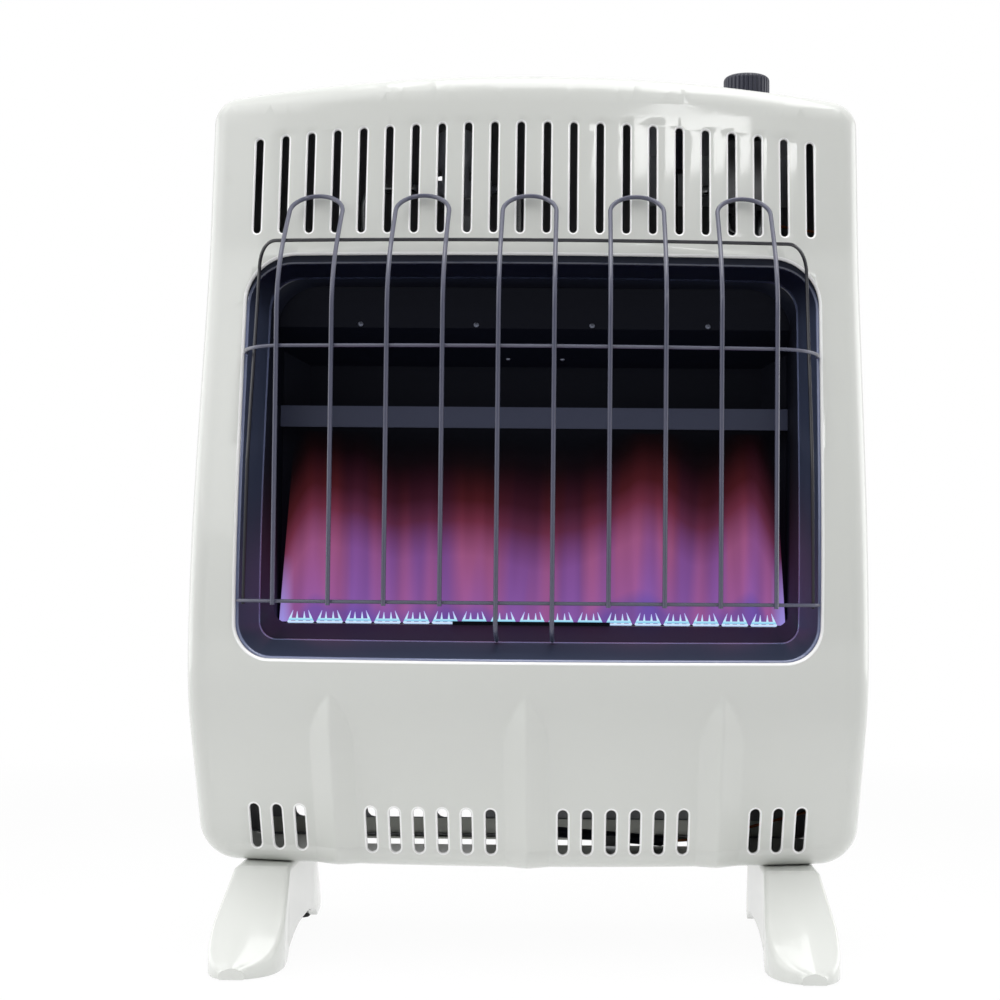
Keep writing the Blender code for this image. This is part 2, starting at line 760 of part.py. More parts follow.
def make_front_cover():
    cover = from_bmesh("front_cover", casing_surface(), CREAM, smooth=True)
    solidify(cover, SHEET)
    reach = (EDGE_RADIUS + SHEET * 4, BELLY_DEPTH + RIB_HEIGHT + EDGE_RADIUS)
    slots = bmesh.new()
    for k in range(UPPER_SLOTS):
        x = (k - (UPPER_SLOTS - 1) / 2) * UPPER_SLOT_PITCH
        outline = slot_outline(x, UPPER_SLOT_BOTTOM_Z, upper_slot_top(x), UPPER_SLOT_WIDTH)
        add_prism(slots, outline, reach)
    for side in (-1, 1):
        places = [MIDDLE_SLOT_START + k * MIDDLE_SLOT_PITCH for k in range(MIDDLE_SLOTS)]
        places += [WING_SLOT_START + k * WING_SLOT_PITCH for k in range(WING_SLOTS)]
        for x in places:
            outline = slot_outline(
                side * x, LOWER_SLOT_BOTTOM_Z, LOWER_SLOT_TOP_Z, LOWER_SLOT_WIDTH
            )
            add_prism(slots, outline, reach)
    window = bmesh.new()
    add_prism(window, window_outline(sides=1), reach)
    holes = bmesh.new()
    for x, radius in (
        (KNOB_X, KNOB_RADIUS + KNOB_CLEARANCE),
        (IGNITER_X, IGNITER_RADIUS + KNOB_CLEARANCE),
    ):
        y = y_at(KNOB_DEPTH)
        add_rod(holes, (x, y, top_z(x) - radius), (x, y, top_z(x) + radius), radius, 20)
    floor = bmesh.new()
    add_box(
        floor,
        (-FLOOR_NOTCH_HALF_WIDTH, FLOOR_NOTCH_HALF_WIDTH),
        (-EDGE_RADIUS, FLOOR_NOTCH_DEPTH),
        (FLOOR_CLEARANCE - EDGE_RADIUS, FLOOR_CLEARANCE + EDGE_RADIUS / 2),
    )
    for name, bm in (
        ("slots", slots),
        ("window_opening", window),
        ("top_holes", holes),
        ("floor_notch", floor),
    ):
        cut(cover, cutter("cut_" + name, bm))
    return cover


def add_turned(bm, profile, place, axis=(0, 0, 1), sides=16):
    """A turned piece from (radius, height) points: a closed ring, or open with both ends on the axis."""
    made = [bm.verts.new((radius, 0, height)) for radius, height in profile]
    ring = profile[0][0] > 0
    pairs = list(zip(made, made[1:]))
    if ring:
        pairs.append((made[-1], made[0]))
    edges = [bm.edges.new(pair) for pair in pairs]
    before = set(bm.verts) - set(made)
    bmesh.ops.spin(
        bm,
        geom=made + edges,
        cent=(0, 0, 0),
        axis=(0, 0, 1),
        angle=math.tau,
        steps=sides,
        use_merge=True,
    )
    fresh = [v for v in bm.verts if v not in before]
    bmesh.ops.remove_doubles(bm, verts=fresh, dist=0.000001)
    fresh = [v for v in bm.verts if v not in before]
    turn = Vector(axis).to_track_quat("Z", "Y").to_matrix().to_4x4()
    bmesh.ops.transform(bm, verts=fresh, matrix=Matrix.Translation(place) @ turn)


def turned(name, profile, place, finish, axis=(0, 0, 1), sides=16, collection=None):
    bm = bmesh.new()
    add_turned(bm, profile, place, axis, sides)
    return from_bmesh(name, bm, finish, collection, smooth=True)


def extrude_plan(name, outline, zs, finish):
    """A closed outline of (x, depth) points drawn up between two heights."""
    bm = bmesh.new()
    face = bm.faces.new([bm.verts.new((x, y_at(d), zs[0])) for x, d in outline])
    drawn = bmesh.ops.extrude_face_region(bm, geom=[face])["geom"]
    moved = [v for v in drawn if isinstance(v, bmesh.types.BMVert)]
    bmesh.ops.translate(bm, verts=moved, vec=(0, 0, zs[1] - zs[0]))
    return from_bmesh(name, bm, finish)


def set_origin(piece, place):
    """The piece's origin moved onto its joint, with the piece left where it is."""
    place = Vector(place)
    piece.data.transform(Matrix.Translation(-place))
    piece.location = place


def hole_cutter(name, places, radius, length, sides=16, axis=(0, 0, 1)):
    """Round cutters at (x, depth, z) places, running both ways along the axis."""
    bm = bmesh.new()
    along = Vector(axis).normalized() * (length / 2)
    for x, depth, z in places:
        centre = Vector((x, y_at(depth), z))
        add_rod(bm, centre - along, centre + along, radius, sides)
    return cutter(name, bm)


def keyhole_outline(x):
    """A round head with a narrow neck above it, for hanging on a screw."""
    side = math.asin(KEYHOLE_NECK_HALF_WIDTH / KEYHOLE_HEAD_RADIUS)
    head = arc_points(
        x, KEYHOLE_Z, KEYHOLE_HEAD_RADIUS, math.pi / 2 + side, 2.5 * math.pi - side, 10
    )
    neck = arc_points(x, KEYHOLE_NECK_TOP_Z, KEYHOLE_NECK_HALF_WIDTH, 0, math.pi, 4)
    return head + neck


def make_rear_panel():
    bm = bmesh.new()
    outline = casing_outline(SHEET + GAP)
    bm.faces.new([bm.verts.new((x, y_at(0), z)) for x, z in outline])
    rim = bmesh.ops.extrude_edge_only(bm, edges=bm.edges[:])["geom"]
    fresh = [v for v in rim if isinstance(v, bmesh.types.BMVert)]
    bmesh.ops.translate(bm, verts=fresh, vec=(0, -REAR_PAN_FLANGE, 0))
    panel = from_bmesh("rear_panel", bm, GREY)
    solidify(panel, SHEET)
    reach = (-SHEET * 2, SHEET * 3)
    holes = bmesh.new()
    for left, right in REAR_WINDOWS:
        middle = (left + right) / 2
        corner = REAR_WINDOW_CORNER
        outline = rounded_rect(
            (right - left) / 2, *REAR_WINDOW_Z, corner, corner, sides=1, steps=3
        )
        add_prism(holes, [(middle + x, z) for x, z in outline], reach)
    for side in (-1, 1):
        add_prism(holes, keyhole_outline(side * KEYHOLE_X), reach)
    for k in range(COOLING_SLOTS):
        x = (k - (COOLING_SLOTS - 1) / 2) * COOLING_SLOT_PITCH
        add_prism(holes, slot_outline(x, *COOLING_SLOT_Z, COOLING_SLOT_WIDTH), reach)
    circle = arc_points(VENT_HOLE_X, VENT_HOLE_Z, VENT_HOLE_RADIUS, 0, math.tau, 12)[:-1]
    add_prism(holes, circle, reach)
    cut(panel, cutter("cut_rear_panel", holes))


def make_rear_rail():
    low = FLOOR_CLEARANCE + (SHEET + GAP) * 2
    high = low + RAIL_HEIGHT
    back = SHEET + GAP
    front = back + RAIL_DEPTH
    profile = [
        (back, low),
        (front, low),
        (front, low + SHEET),
        (back + SHEET, low + SHEET),
        (back + SHEET, high),
        (back, high),
    ]
    extrude_profile("rear_rail", profile, (-RAIL_HALF_LENGTH, RAIL_HALF_LENGTH), BLACK)


def inner_front_depth(x, z):
    return smooth_front_depth(x, z) - SHEET - BEZEL_BACKOFF


def band_depth(x, z):
    return smooth_front_depth(x, z) - BEZEL_SETBACK


def bezel_loops():
    """Flange, lip, bend line and mouth, each a rounded oblong with the same number of points."""

    def window_loop(grow, depth_at):
        return [(x, y_at(depth_at(x, z)), z) for x, z in window_outline(grow)]

    def bend_depth(x, z):
        lip = min(1.0, BEZEL_LIP / BEZEL_BAND)
        return max(band_depth(x, z) - BEZEL_BAND_DEPTH * (1 - lip), MOUTH_DEPTH + BEZEL_SETBACK)

    mouth = rounded_rect(
        MOUTH_HALF_WIDTH,
        MOUTH_BOTTOM_Z,
        MOUTH_TOP_Z,
        MOUTH_TOP_CORNER,
        MOUTH_BOTTOM_CORNER,
    )
    return [
        window_loop(BEZEL_FLANGE, inner_front_depth),
        window_loop(-BEZEL_LIP, band_depth),
        window_loop(-BEZEL_BAND, bend_depth),
        [(x, y_at(MOUTH_DEPTH), z) for x, z in mouth],
    ]


def make_window_bezel():
    bm = bmesh.new()
    loops = [[bm.verts.new(place) for place in loop] for loop in bezel_loops()]
    rings = []
    for loop in loops:
        rings.append([bm.edges.new(pair) for pair in zip(loop, loop[1:] + loop[:1])])
    for first, second in zip(rings, rings[1:]):
        bmesh.ops.bridge_loops(bm, edges=first + second)
    bezel = from_bmesh("window_bezel", bm, BLACK, smooth=True)
    inward = bezel.data.polygons[0].normal.y < 0
    solidify(bezel, BEZEL_SHEET, -1.0 if inward else 1.0)


def make_firebox():
    front, back, low = FIREBOX_FRONT_DEPTH, FIREBOX_BACK_DEPTH, FIREBOX_FLOOR_Z
    profile = [
        (front, FIREBOX_TOP_Z),
        (front - FIREBOX_BROW, FIREBOX_TOP_Z),
        (HOOD_DEPTH, HOOD_Z),
        (back, FIREBOX_BACK_TOP_Z),
        (back, low),
        (front, low),
        (front, FIREBOX_LIP_Z),
    ]
    sides = (-FIREBOX_HALF_WIDTH, FIREBOX_HALF_WIDTH)
    firebox = extrude_profile("firebox_shell", profile, sides, BLACK)
    bm = bmesh.new()
    bm.from_mesh(firebox.data)
    mouth = [
        f
        for f in bm.faces
        if abs(f.normal.y) > 0.9
        and abs(f.calc_center_median().y - y_at(front)) < GAP
        and f.calc_center_median().z > FIREBOX_LIP_Z
    ]
    bmesh.ops.delete(bm, geom=mouth, context="FACES")
    upright = [
        e
        for e in bm.edges
        if all(abs(v.co.y - y_at(back)) < GAP for v in e.verts)
        and abs(e.verts[0].co.x - e.verts[1].co.x) < GAP
    ]
    bmesh.ops.bevel(
        bm, geom=upright, offset=FIREBOX_CORNER, segments=1, profile=0.5, affect="EDGES"
    )
    bm.to_mesh(firebox.data)
    bm.free()
    solidify(firebox, FIREBOX_SHEET)
    riser_depth = sum(BURNER_DEPTH) / 2
    cut(
        firebox,
        hole_cutter(
            "cut_riser", [(MIXER_RISER_X, riser_depth, low)], MIXER_HOLE, 0.02, 20
        ),
    )
    pilots = [(k * PILOT_SPACING, PILOT_DEPTH, low) for k in (-1, 0, 1)]
    cut(firebox, hole_cutter("cut_pilots", pilots, PILOT_TUBE_RADIUS + GAP * 2, 0.02, 12))


def make_firebox_brackets():
    back = SHEET + GAP
    front = FIREBOX_BACK_DEPTH - GAP
    for name, side in (("left_firebox_bracket", -1), ("right_firebox_bracket", 1)):
        x = side * FIREBOX_BRACKET_X
        half = FIREBOX_BRACKET_WIDTH / 2
        outline = [
            (x - half, back),
            (x + half, back),
            (x + half, back + SHEET),
            (x + half / 2, back + SHEET),
            (x + half / 2, front),
            (x - half / 2, front),
            (x - half / 2, back + SHEET),
            (x - half, back + SHEET),
        ]
        bracket = extrude_plan(name, outline, FIREBOX_BRACKET_Z, ZINC)
        room = bmesh.new()
        add_box(
            room,
            (x - half / 2 + SHEET, x + half / 2 - SHEET),
            (back - SHEET, front - SHEET),
            (FIREBOX_BRACKET_Z[0] - SHEET, FIREBOX_BRACKET_Z[1] + SHEET),
        )
        cut(bracket, cutter("cut_" + name, room))


def make_deflector():
    back, front = DEFLECTOR_DEPTH
    low, high = DEFLECTOR_Z
    profile = [
        (front, low),
        (front, high),
        (back, high),
        (back, high - DEFLECTOR_SHEET),
        (front - DEFLECTOR_SHEET, high - DEFLECTOR_SHEET),
        (front - DEFLECTOR_SHEET, low),
    ]
    half = FIREBOX_HALF_WIDTH - FIREBOX_SHEET - GAP
    extrude_profile("deflector_bar", profile, (-half, half), BLACK)


def make_burner():
    burner = box(
        "burner_tube",
        (-BURNER_HALF_LENGTH, BURNER_HALF_LENGTH),
        BURNER_DEPTH,
        BURNER_Z,
        HOT_STEEL,
        edge=BURNER_EDGE,
    )
    middle = sum(BURNER_DEPTH) / 2
    ports = bmesh.new()
    for k in range(PORT_GROUPS):
        x = (k - (PORT_GROUPS - 1) / 2) * PORT_GROUP_PITCH
        half = PORT_GROUP_LENGTH / 2
        add_box(
            ports,
            (x - half, x + half),
            (middle - PORT_WIDTH / 2, middle + PORT_WIDTH / 2),
            (BURNER_Z[1] - PORT_DEPTH, BURNER_Z[1] + PORT_DEPTH),
        )
    cut(burner, cutter("cut_ports", ports))
    floor = FIREBOX_FLOOR_Z + FIREBOX_SHEET + GAP
    for name, side in (("left_burner_foot", -1), ("right_burner_foot", 1)):
        half = BURNER_FOOT_LENGTH / 2
        x = side * BURNER_FOOT_X
        box(name, (x - half, x + half), BURNER_DEPTH, (floor, BURNER_Z[0] - GAP), ZINC)


def make_mixer():
    depth = sum(BURNER_DEPTH) / 2
    y = y_at(depth)
    mouth = (MIXER_MOUTH_X, y, MIXER_Z)
    corner = (MIXER_RISER_X, y, MIXER_Z)
    top = (MIXER_RISER_X, y, BURNER_Z[0] - GAP)
    throat_x = MIXER_MOUTH_X - MIXER_BORE_DEPTH
    route = bent_path([(MIXER_MOUTH_X - 0.06, y, MIXER_Z), corner, top], MIXER_BEND, 5)
    lead_in = [
        (mouth, MIXER_MOUTH_RADIUS),
        ((MIXER_MOUTH_X - 0.008, y, MIXER_Z), MIXER_MOUTH_RADIUS),
        ((throat_x, y, MIXER_Z), MIXER_THROAT),
    ]
    points = [Vector(place) for place, _ in lead_in] + route
    radii = [radius for _, radius in lead_in] + [MIXER_RADIUS] * len(route)
    mixer = to_mesh(tube("mixer_tube", points, MIXER_RADIUS, HOT_STEEL, 4, radii))
    bore = turned(
        "cut_mixer_mouth",
        [
            (0, -0.012),
            (MIXER_THROAT - SHEET * 2, -0.012),
            (MIXER_THROAT - SHEET * 2, 0),
            (MIXER_MOUTH_RADIUS - SHEET * 1.5, MIXER_BORE_DEPTH - 0.008),
            (MIXER_MOUTH_RADIUS - SHEET * 1.5, MIXER_BORE_DEPTH + 0.01),
            (0, MIXER_BORE_DEPTH + 0.01),
        ],
        (throat_x, y, MIXER_Z),
        None,
        axis=(1, 0, 0),
        collection=CUTTERS,
    )
    bore.hide_render = True
    bore.display_type = "WIRE"
    cut(mixer, bore)


def make_injector():
    y = y_at(sum(BURNER_DEPTH) / 2)
    start, end = INJECTOR_X
    turned(
        "injector",
        [
            (0, -NOZZLE_LENGTH),
            (NOZZLE_RADIUS / 2, -NOZZLE_LENGTH),
            (NOZZLE_RADIUS, 0),
            (INJECTOR_RADIUS, 0.002),
            (INJECTOR_RADIUS, end - start),
            (0, end - start),
        ],
        (start, y, MIXER_Z),
        BRASS,
        axis=(1, 0, 0),
    )
    plate = box(
        "injector_bracket",
        (INJECTOR_PLATE_X, INJECTOR_PLATE_X + DEFLECTOR_SHEET),
        BURNER_DEPTH,
        (INJECTOR_PLATE_BOTTOM_Z, FIREBOX_FLOOR_Z - GAP),
        ZINC,
    )
    depth = sum(BURNER_DEPTH) / 2
    place = [(INJECTOR_PLATE_X, depth, MIXER_Z)]
    cut(plate, hole_cutter("cut_injector", place, INJECTOR_RADIUS + GAP, 0.02, 16, (1, 0, 0)))


def make_pilot():
    floor = FIREBOX_FLOOR_Z + FIREBOX_SHEET + GAP
    box(
        "pilot_shield",
        (-PILOT_SHIELD_HALF_WIDTH, PILOT_SHIELD_HALF_WIDTH),
        PILOT_SHIELD_DEPTH,
        (floor, PILOT_SHIELD_TOP_Z),
        BLACK,
    )
    plate = box(
        "pilot_bracket",
        (-PILOT_PLATE_HALF_WIDTH, PILOT_PLATE_HALF_WIDTH),
        (BURNER_DEPTH[1] + GAP, PILOT_SHIELD_DEPTH[0] - GAP),
        (PILOT_PLATE_Z, PILOT_PLATE_Z + SHEET),
        ZINC,
    )
    places = [(k * PILOT_SPACING, PILOT_DEPTH, PILOT_PLATE_Z) for k in (-1, 0, 1)]
    cut(plate, hole_cutter("cut_pilot_plate", places, PILOT_TUBE_RADIUS + GAP, 0.02, 12))
    y = y_at(PILOT_DEPTH)
    length = PILOT_TOP_Z - PILOT_FOOT_Z
    turned(
        "pilot_burner",
        [
            (0, 0),
            (PILOT_TUBE_RADIUS, 0),
            (PILOT_TUBE_RADIUS, length - 0.004),
            (PILOT_TUBE_RADIUS * 1.4, length - 0.003),
            (PILOT_TUBE_RADIUS * 1.4, length),
            (0, length),
        ],
        (0, y, PILOT_FOOT_Z),
        BRASS,
        sides=12,
    )
    body = ELECTRODE_TOP_Z - PILOT_FOOT_Z
    turned(
        "pilot_electrode",
        [
            (0, 0),
            (PILOT_TUBE_RADIUS, 0),
            (PILOT_TUBE_RADIUS, body),
            (ELECTRODE_TIP_RADIUS, body + 0.001),
            (ELECTRODE_TIP_RADIUS, length),
            (0, length),
        ],
        (PILOT_SPACING, y, PILOT_FOOT_Z),
        CERAMIC,
        sides=12,
    )
    turned(
        "thermocouple",
        [
            (0, 0),
            (THERMOCOUPLE_RADIUS, 0),
            (THERMOCOUPLE_RADIUS, length - 0.003),
            (THERMOCOUPLE_RADIUS / 2, length),
            (0, length),
        ],
        (-PILOT_SPACING, y, PILOT_FOOT_Z),
        COPPER,
        sides=12,
    )


def guard_lean(z):
    """0 on the upright part of the guard, growing to 1 at the tips of the hairpins."""

    def fall(height):
        t = max(0.0, height - GUARD_BEND_START_Z)
        span = GUARD_BEND_END_Z - GUARD_BEND_START_Z
        if t < span:
            return t * t / (2 * span)
        return t - span / 2

    return fall(z) / fall(GUARD_TOP_Z)


def guard_depth(x, z):
    """Centre line of the hairpins."""
    front = GUARD_FRONT_DEPTH - GUARD_BOW * (x / RAIL_STRAIGHT) ** 2
    tip = smooth_front_depth(x, GUARD_TOP_Z) + GUARD_TIP_STANDOFF
    return front - (front - tip) * guard_lean(z)


def bezel_band_z(depth):
    """Height of the bezel's lower band at a depth, on the centre line."""
    lip = smooth_front_depth(0, WINDOW_BOTTOM_Z) - BEZEL_SETBACK
    share = (lip - depth) / BEZEL_BAND_DEPTH
    return WINDOW_BOTTOM_Z + BEZEL_LIP + share * BEZEL_BAND


def make_hairpin(index):
    middle = (index - (HAIRPINS - 1) / 2) * LEG_PITCH * 2
    radius = LEG_PITCH / 2
    slope = math.hypot(1, GUARD_LEAN)
    loop_z = GUARD_TOP_Z - radius / slope
    centre = index == (HAIRPINS - 1) // 2
    heights = [0.30, 0.38, GUARD_BEND_START_Z, 0.465, 0.479, 0.491, TOP_RAIL_Z, 0.512]
    leg = [(middle - radius, z) for z in heights]
    if not centre:
        leg.insert(0, (middle - radius, BOTTOM_RAIL_Z - LEG_END))
    turn = []
    for step in range(1, 8):
        angle = math.pi - math.pi * step / 8
        turn.append((middle + radius * math.cos(angle), loop_z + radius * math.sin(angle) / slope))
    ends = [(middle - radius, loop_z)]
    half = leg + ends
    mirrored = [(2 * middle - x, z) for x, z in reversed(half)]
    route = [Vector((x, y_at(guard_depth(x, z)), z)) for x, z in half + turn + mirrored]
    if centre:
        x = middle - radius
        front = guard_depth(x, HOOK_Z)
        seat = bezel_band_z(HOOK_DEPTH) + (HAIRPIN_WIRE + GAP) * 1.12
        corners = [
            (x, y_at(HOOK_DEPTH), seat),
            (x, y_at(front), HOOK_Z),
            (x, y_at(front), heights[0] - 0.02),
        ]
        hook = bent_path(corners, 0.006, 3)
        other = [Vector((2 * middle - p.x, p.y, p.z)) for p in reversed(hook)]
        route = hook + route + other
    tube(f"guard_hairpin_{index + 1}", route, HAIRPIN_WIRE, WIRE)


def behind_hairpins(x, z):
    """A cross wire laid against the backs of the hairpins, allowing for their lean."""
    slope = (guard_depth(x, z) - guard_depth(x, z + GAP)) / GAP
    return guard_depth(x, z) - (HAIRPIN_WIRE + RAIL_WIRE + GAP) * math.hypot(1, slope)


def rail_depth(x, z):
    """A cross wire's depth beyond its straight part, where it turns back to the window's edge."""
    reach = window_half_width(z) - RAIL_INSET
    start = behind_hairpins(RAIL_STRAIGHT, z)
    end = smooth_front_depth(reach, z) - RAIL_SETBACK
    share = min(1.0, (x - RAIL_STRAIGHT) / (reach - RAIL_STRAIGHT))
    return start + (end - start) * (1 - math.sqrt(1 - share**2))


def make_guard_rail(name, z):
    """A cross wire behind the hairpins whose ends turn back to the edge of the window."""
    reach = window_half_width(z) - RAIL_INSET
    side = []
    for step in range(1, 7):
        x = RAIL_STRAIGHT + (reach - RAIL_STRAIGHT) * math.sin(math.pi / 2 * step / 6)
        side.append((x, rail_depth(x, z)))
    flat = [(x * RAIL_STRAIGHT / 4, None) for x in range(-4, 5)]
    places = [(-x, d) for x, d in reversed(side)] + flat + side
    route = []
    for x, depth in places:
        route.append((x, y_at(behind_hairpins(x, z) if depth is None else depth), z))
    tube(name, route, RAIL_WIRE, WIRE)


def frame_depth(z):
    """The guard's upright side wires: in front of the casing, and behind the ends of the rails."""
    slope = rail_depth(FRAME_HALF_WIDTH - RAIL_WIRE, z) - rail_depth(FRAME_HALF_WIDTH + RAIL_WIRE, z)
    steep = math.hypot(1, slope / (2 * RAIL_WIRE))
    behind_rails = rail_depth(FRAME_HALF_WIDTH, z) - (2 * RAIL_WIRE + GAP) * steep
    return min(smooth_front_depth(FRAME_HALF_WIDTH, z) + FRAME_STANDOFF, behind_rails)


def make_guard_frame():
    corner_z = TOP_RAIL_Z - FRAME_CORNER
    corner_x = FRAME_HALF_WIDTH - FRAME_CORNER
    down = [BOTTOM_RAIL_Z - LEG_END, 0.275, 0.30, 0.325, 0.35, 0.375, 0.40, 0.42, 0.445, 0.465]
    side = [(FRAME_HALF_WIDTH, frame_depth(z), z) for z in down]
    low = frame_depth(corner_z)
    high = behind_hairpins(corner_x, TOP_RAIL_Z)
    for x, z in arc_points(corner_x, corner_z, FRAME_CORNER, 0, math.pi / 2, 5):
        rise = (z - corner_z) / FRAME_CORNER
        side.append((x, low + (high - low) * rise**2, z))
    spaced = [RAIL_STRAIGHT * k / 4 for k in (3, 2, 1, 0)]
    across = [(x, behind_hairpins(x, TOP_RAIL_Z), TOP_RAIL_Z) for x in spaced]
    half = side + across
    full = half + [(-x, d, z) for x, d, z in reversed(half[:-1])]
    tube("guard_frame", [(x, y_at(d), z) for x, d, z in full], RAIL_WIRE, WIRE)


def make_guard():
    for index in range(HAIRPINS):
        make_hairpin(index)
    make_guard_frame()
    make_guard_rail("guard_middle_rail", MID_RAIL_Z)
    make_guard_rail("guard_bottom_rail", BOTTOM_RAIL_Z)


def make_valve():
    y = y_at(KNOB_DEPTH)
    valve = box(
        "gas_valve",
        (KNOB_X - VALVE_HALF_WIDTH, KNOB_X + VALVE_HALF_WIDTH),
        (KNOB_DEPTH - VALVE_HALF_DEPTH, KNOB_DEPTH + VALVE_HALF_DEPTH),
        VALVE_Z,
        DIE_CAST,
        edge=0.003,
    )
    neck = bmesh.new()
    start = (VALVE_Z[0] + VALVE_Z[1]) / 2
    add_rod(neck, (KNOB_X, y, start), (KNOB_X, y, VALVE_NECK_TOP_Z), VALVE_NECK_RADIUS, 20)
    cut(valve, cutter("add_valve_neck", neck), "UNION")
    bore = bmesh.new()
    add_rod(bore, (KNOB_X, y, PLUG_BOTTOM_Z - GAP), (KNOB_X, y, KNOB_TOP_Z), PLUG_RADIUS + GAP, 20)
    cut(valve, cutter("cut_valve_bore", bore))
    plug = turned(
        "valve_plug",
        [
            (0, PLUG_BOTTOM_Z),
            (PLUG_RADIUS, PLUG_BOTTOM_Z),
            (PLUG_RADIUS, PLUG_TOP_Z),
            (STEM_RADIUS + GAP, PLUG_TOP_Z),
            (STEM_RADIUS + GAP, STEM_BOTTOM_Z - KNOB_TRAVEL - GAP),
            (0, STEM_BOTTOM_Z - KNOB_TRAVEL - GAP),
        ],
        (KNOB_X, y, 0),
        BRASS,
        sides=20,
    )
    set_origin(plug, (KNOB_X, y, PLUG_BOTTOM_Z))
    knob_foot = KNOB_TOP_Z - KNOB_HEIGHT
    stem = rod(
        "valve_stem",
        (KNOB_X, y, STEM_BOTTOM_Z),
        (KNOB_X, y, knob_foot + STEM_IN_KNOB),
        STEM_RADIUS,
        ZINC,
        sides=12,
    )
    set_origin(stem, (KNOB_X, y, STEM_BOTTOM_Z))
    low = PANEL_Z + PANEL_SHEET + GAP
    turned(
        "valve_nut",
        [
            (VALVE_NECK_RADIUS + GAP, low),
            (NUT_RADIUS, low),
            (NUT_RADIUS, low + NUT_HEIGHT),
            (VALVE_NECK_RADIUS + GAP, low + NUT_HEIGHT),
        ],
        (KNOB_X, y, 0),
        ZINC,
        sides=20,
    )
    make_knob(y, knob_foot)


def make_knob(y, foot):
    """A fluted cap with a hub inside for the stem."""
    bm = bmesh.new()
    count = KNOB_FLUTES * 2
    rim = []
    for k in range(count):
        angle = math.tau * k / count
        radius = KNOB_RADIUS - (KNOB_FLUTE_DEPTH if k % 2 else 0)
        rim.append(bm.verts.new((radius * math.cos(angle), radius * math.sin(angle), 0)))
    face = bm.faces.new(rim)
    lower = None
    for lift, grow in ((KNOB_HEIGHT - KNOB_CHAMFER, 1.0), (KNOB_CHAMFER, 0.9)):
        drawn = bmesh.ops.extrude_face_region(bm, geom=[face])["geom"]
        fresh = [v for v in drawn if isinstance(v, bmesh.types.BMVert)]
        if lower:
            bmesh.ops.delete(bm, geom=[lower], context="FACES_ONLY")
        face = next(g for g in drawn if isinstance(g, bmesh.types.BMFace))
        lower = face
        for v in fresh:
            v.co.z += lift
            v.co.x *= grow
            v.co.y *= grow
    bmesh.ops.translate(bm, verts=bm.verts, vec=(KNOB_X, y, foot))
    knob = from_bmesh("control_knob", bm, KNOB_PLASTIC, smooth=True)
    set_origin(knob, (KNOB_X, y, foot))
    ceiling = foot + KNOB_HEIGHT - KNOB_CROWN
    inside = KNOB_RADIUS - KNOB_FLUTE_DEPTH - KNOB_WALL
    hollow = bmesh.new()
    add_turned(
        hollow,
        [
            (HUB_RADIUS, foot - KNOB_CHAMFER),
            (inside, foot - KNOB_CHAMFER),
            (inside, ceiling),
            (HUB_RADIUS, ceiling),
        ],
        (KNOB_X, y, 0),
        sides=20,
    )
    cut(knob, cutter("cut_knob_hollow", hollow))
    socket = bmesh.new()
    top = foot + STEM_IN_KNOB + GAP
    add_rod(socket, (KNOB_X, y, foot - 0.01), (KNOB_X, y, top), STEM_RADIUS + GAP, 12)
    cut(knob, cutter("cut_knob_socket", socket))


def make_control_panel():
    back = SHEET + GAP
    high = PANEL_Z + PANEL_SHEET
    profile = [
        (back, PANEL_Z - PANEL_FLANGE),
        (back, high),
        (PANEL_FRONT_DEPTH, high),
        (PANEL_FRONT_DEPTH, PANEL_Z),
        (back + PANEL_SHEET, PANEL_Z),
        (back + PANEL_SHEET, PANEL_Z - PANEL_FLANGE),
    ]
    panel = extrude_profile("control_panel", profile, PANEL_X, ZINC)
    valve_hole = [(KNOB_X, KNOB_DEPTH, PANEL_Z)]
    cut(panel, hole_cutter("cut_panel_valve", valve_hole, VALVE_NECK_RADIUS + GAP, 0.01, 20))
    igniter_hole = [(IGNITER_X, KNOB_DEPTH, PANEL_Z)]
    cut(panel, hole_cutter("cut_panel_igniter", igniter_hole, IGNITER_RADIUS + GAP, 0.01))


def make_igniter():
    y = y_at(KNOB_DEPTH)
    top = IGNITER_TOP_Z
    button_foot = top + BUTTON_PROUD - BUTTON_LENGTH
    turned(
        "igniter_body",
        [
            (0, IGNITER_BOTTOM_Z),
            (IGNITER_RADIUS, IGNITER_BOTTOM_Z),
            (IGNITER_RADIUS, top),
            (BUTTON_RADIUS + GAP, top),
            (BUTTON_RADIUS + GAP, button_foot - IGNITER_TRAVEL - GAP),
            (0, button_foot - IGNITER_TRAVEL - GAP),
        ],
        (IGNITER_X, y, 0),
        KNOB_PLASTIC,
        sides=20,
    )
    button = turned(
        "igniter_button",
        [
            (0, button_foot),
            (BUTTON_RADIUS, button_foot),
            (BUTTON_RADIUS, top + BUTTON_PROUD - 0.001),
            (BUTTON_RADIUS - 0.001, top + BUTTON_PROUD),
            (0, top + BUTTON_PROUD),
        ],
        (IGNITER_X, y, 0),
        KNOB_PLASTIC,
        sides=20,
    )
    set_origin(button, (IGNITER_X, y, button_foot))


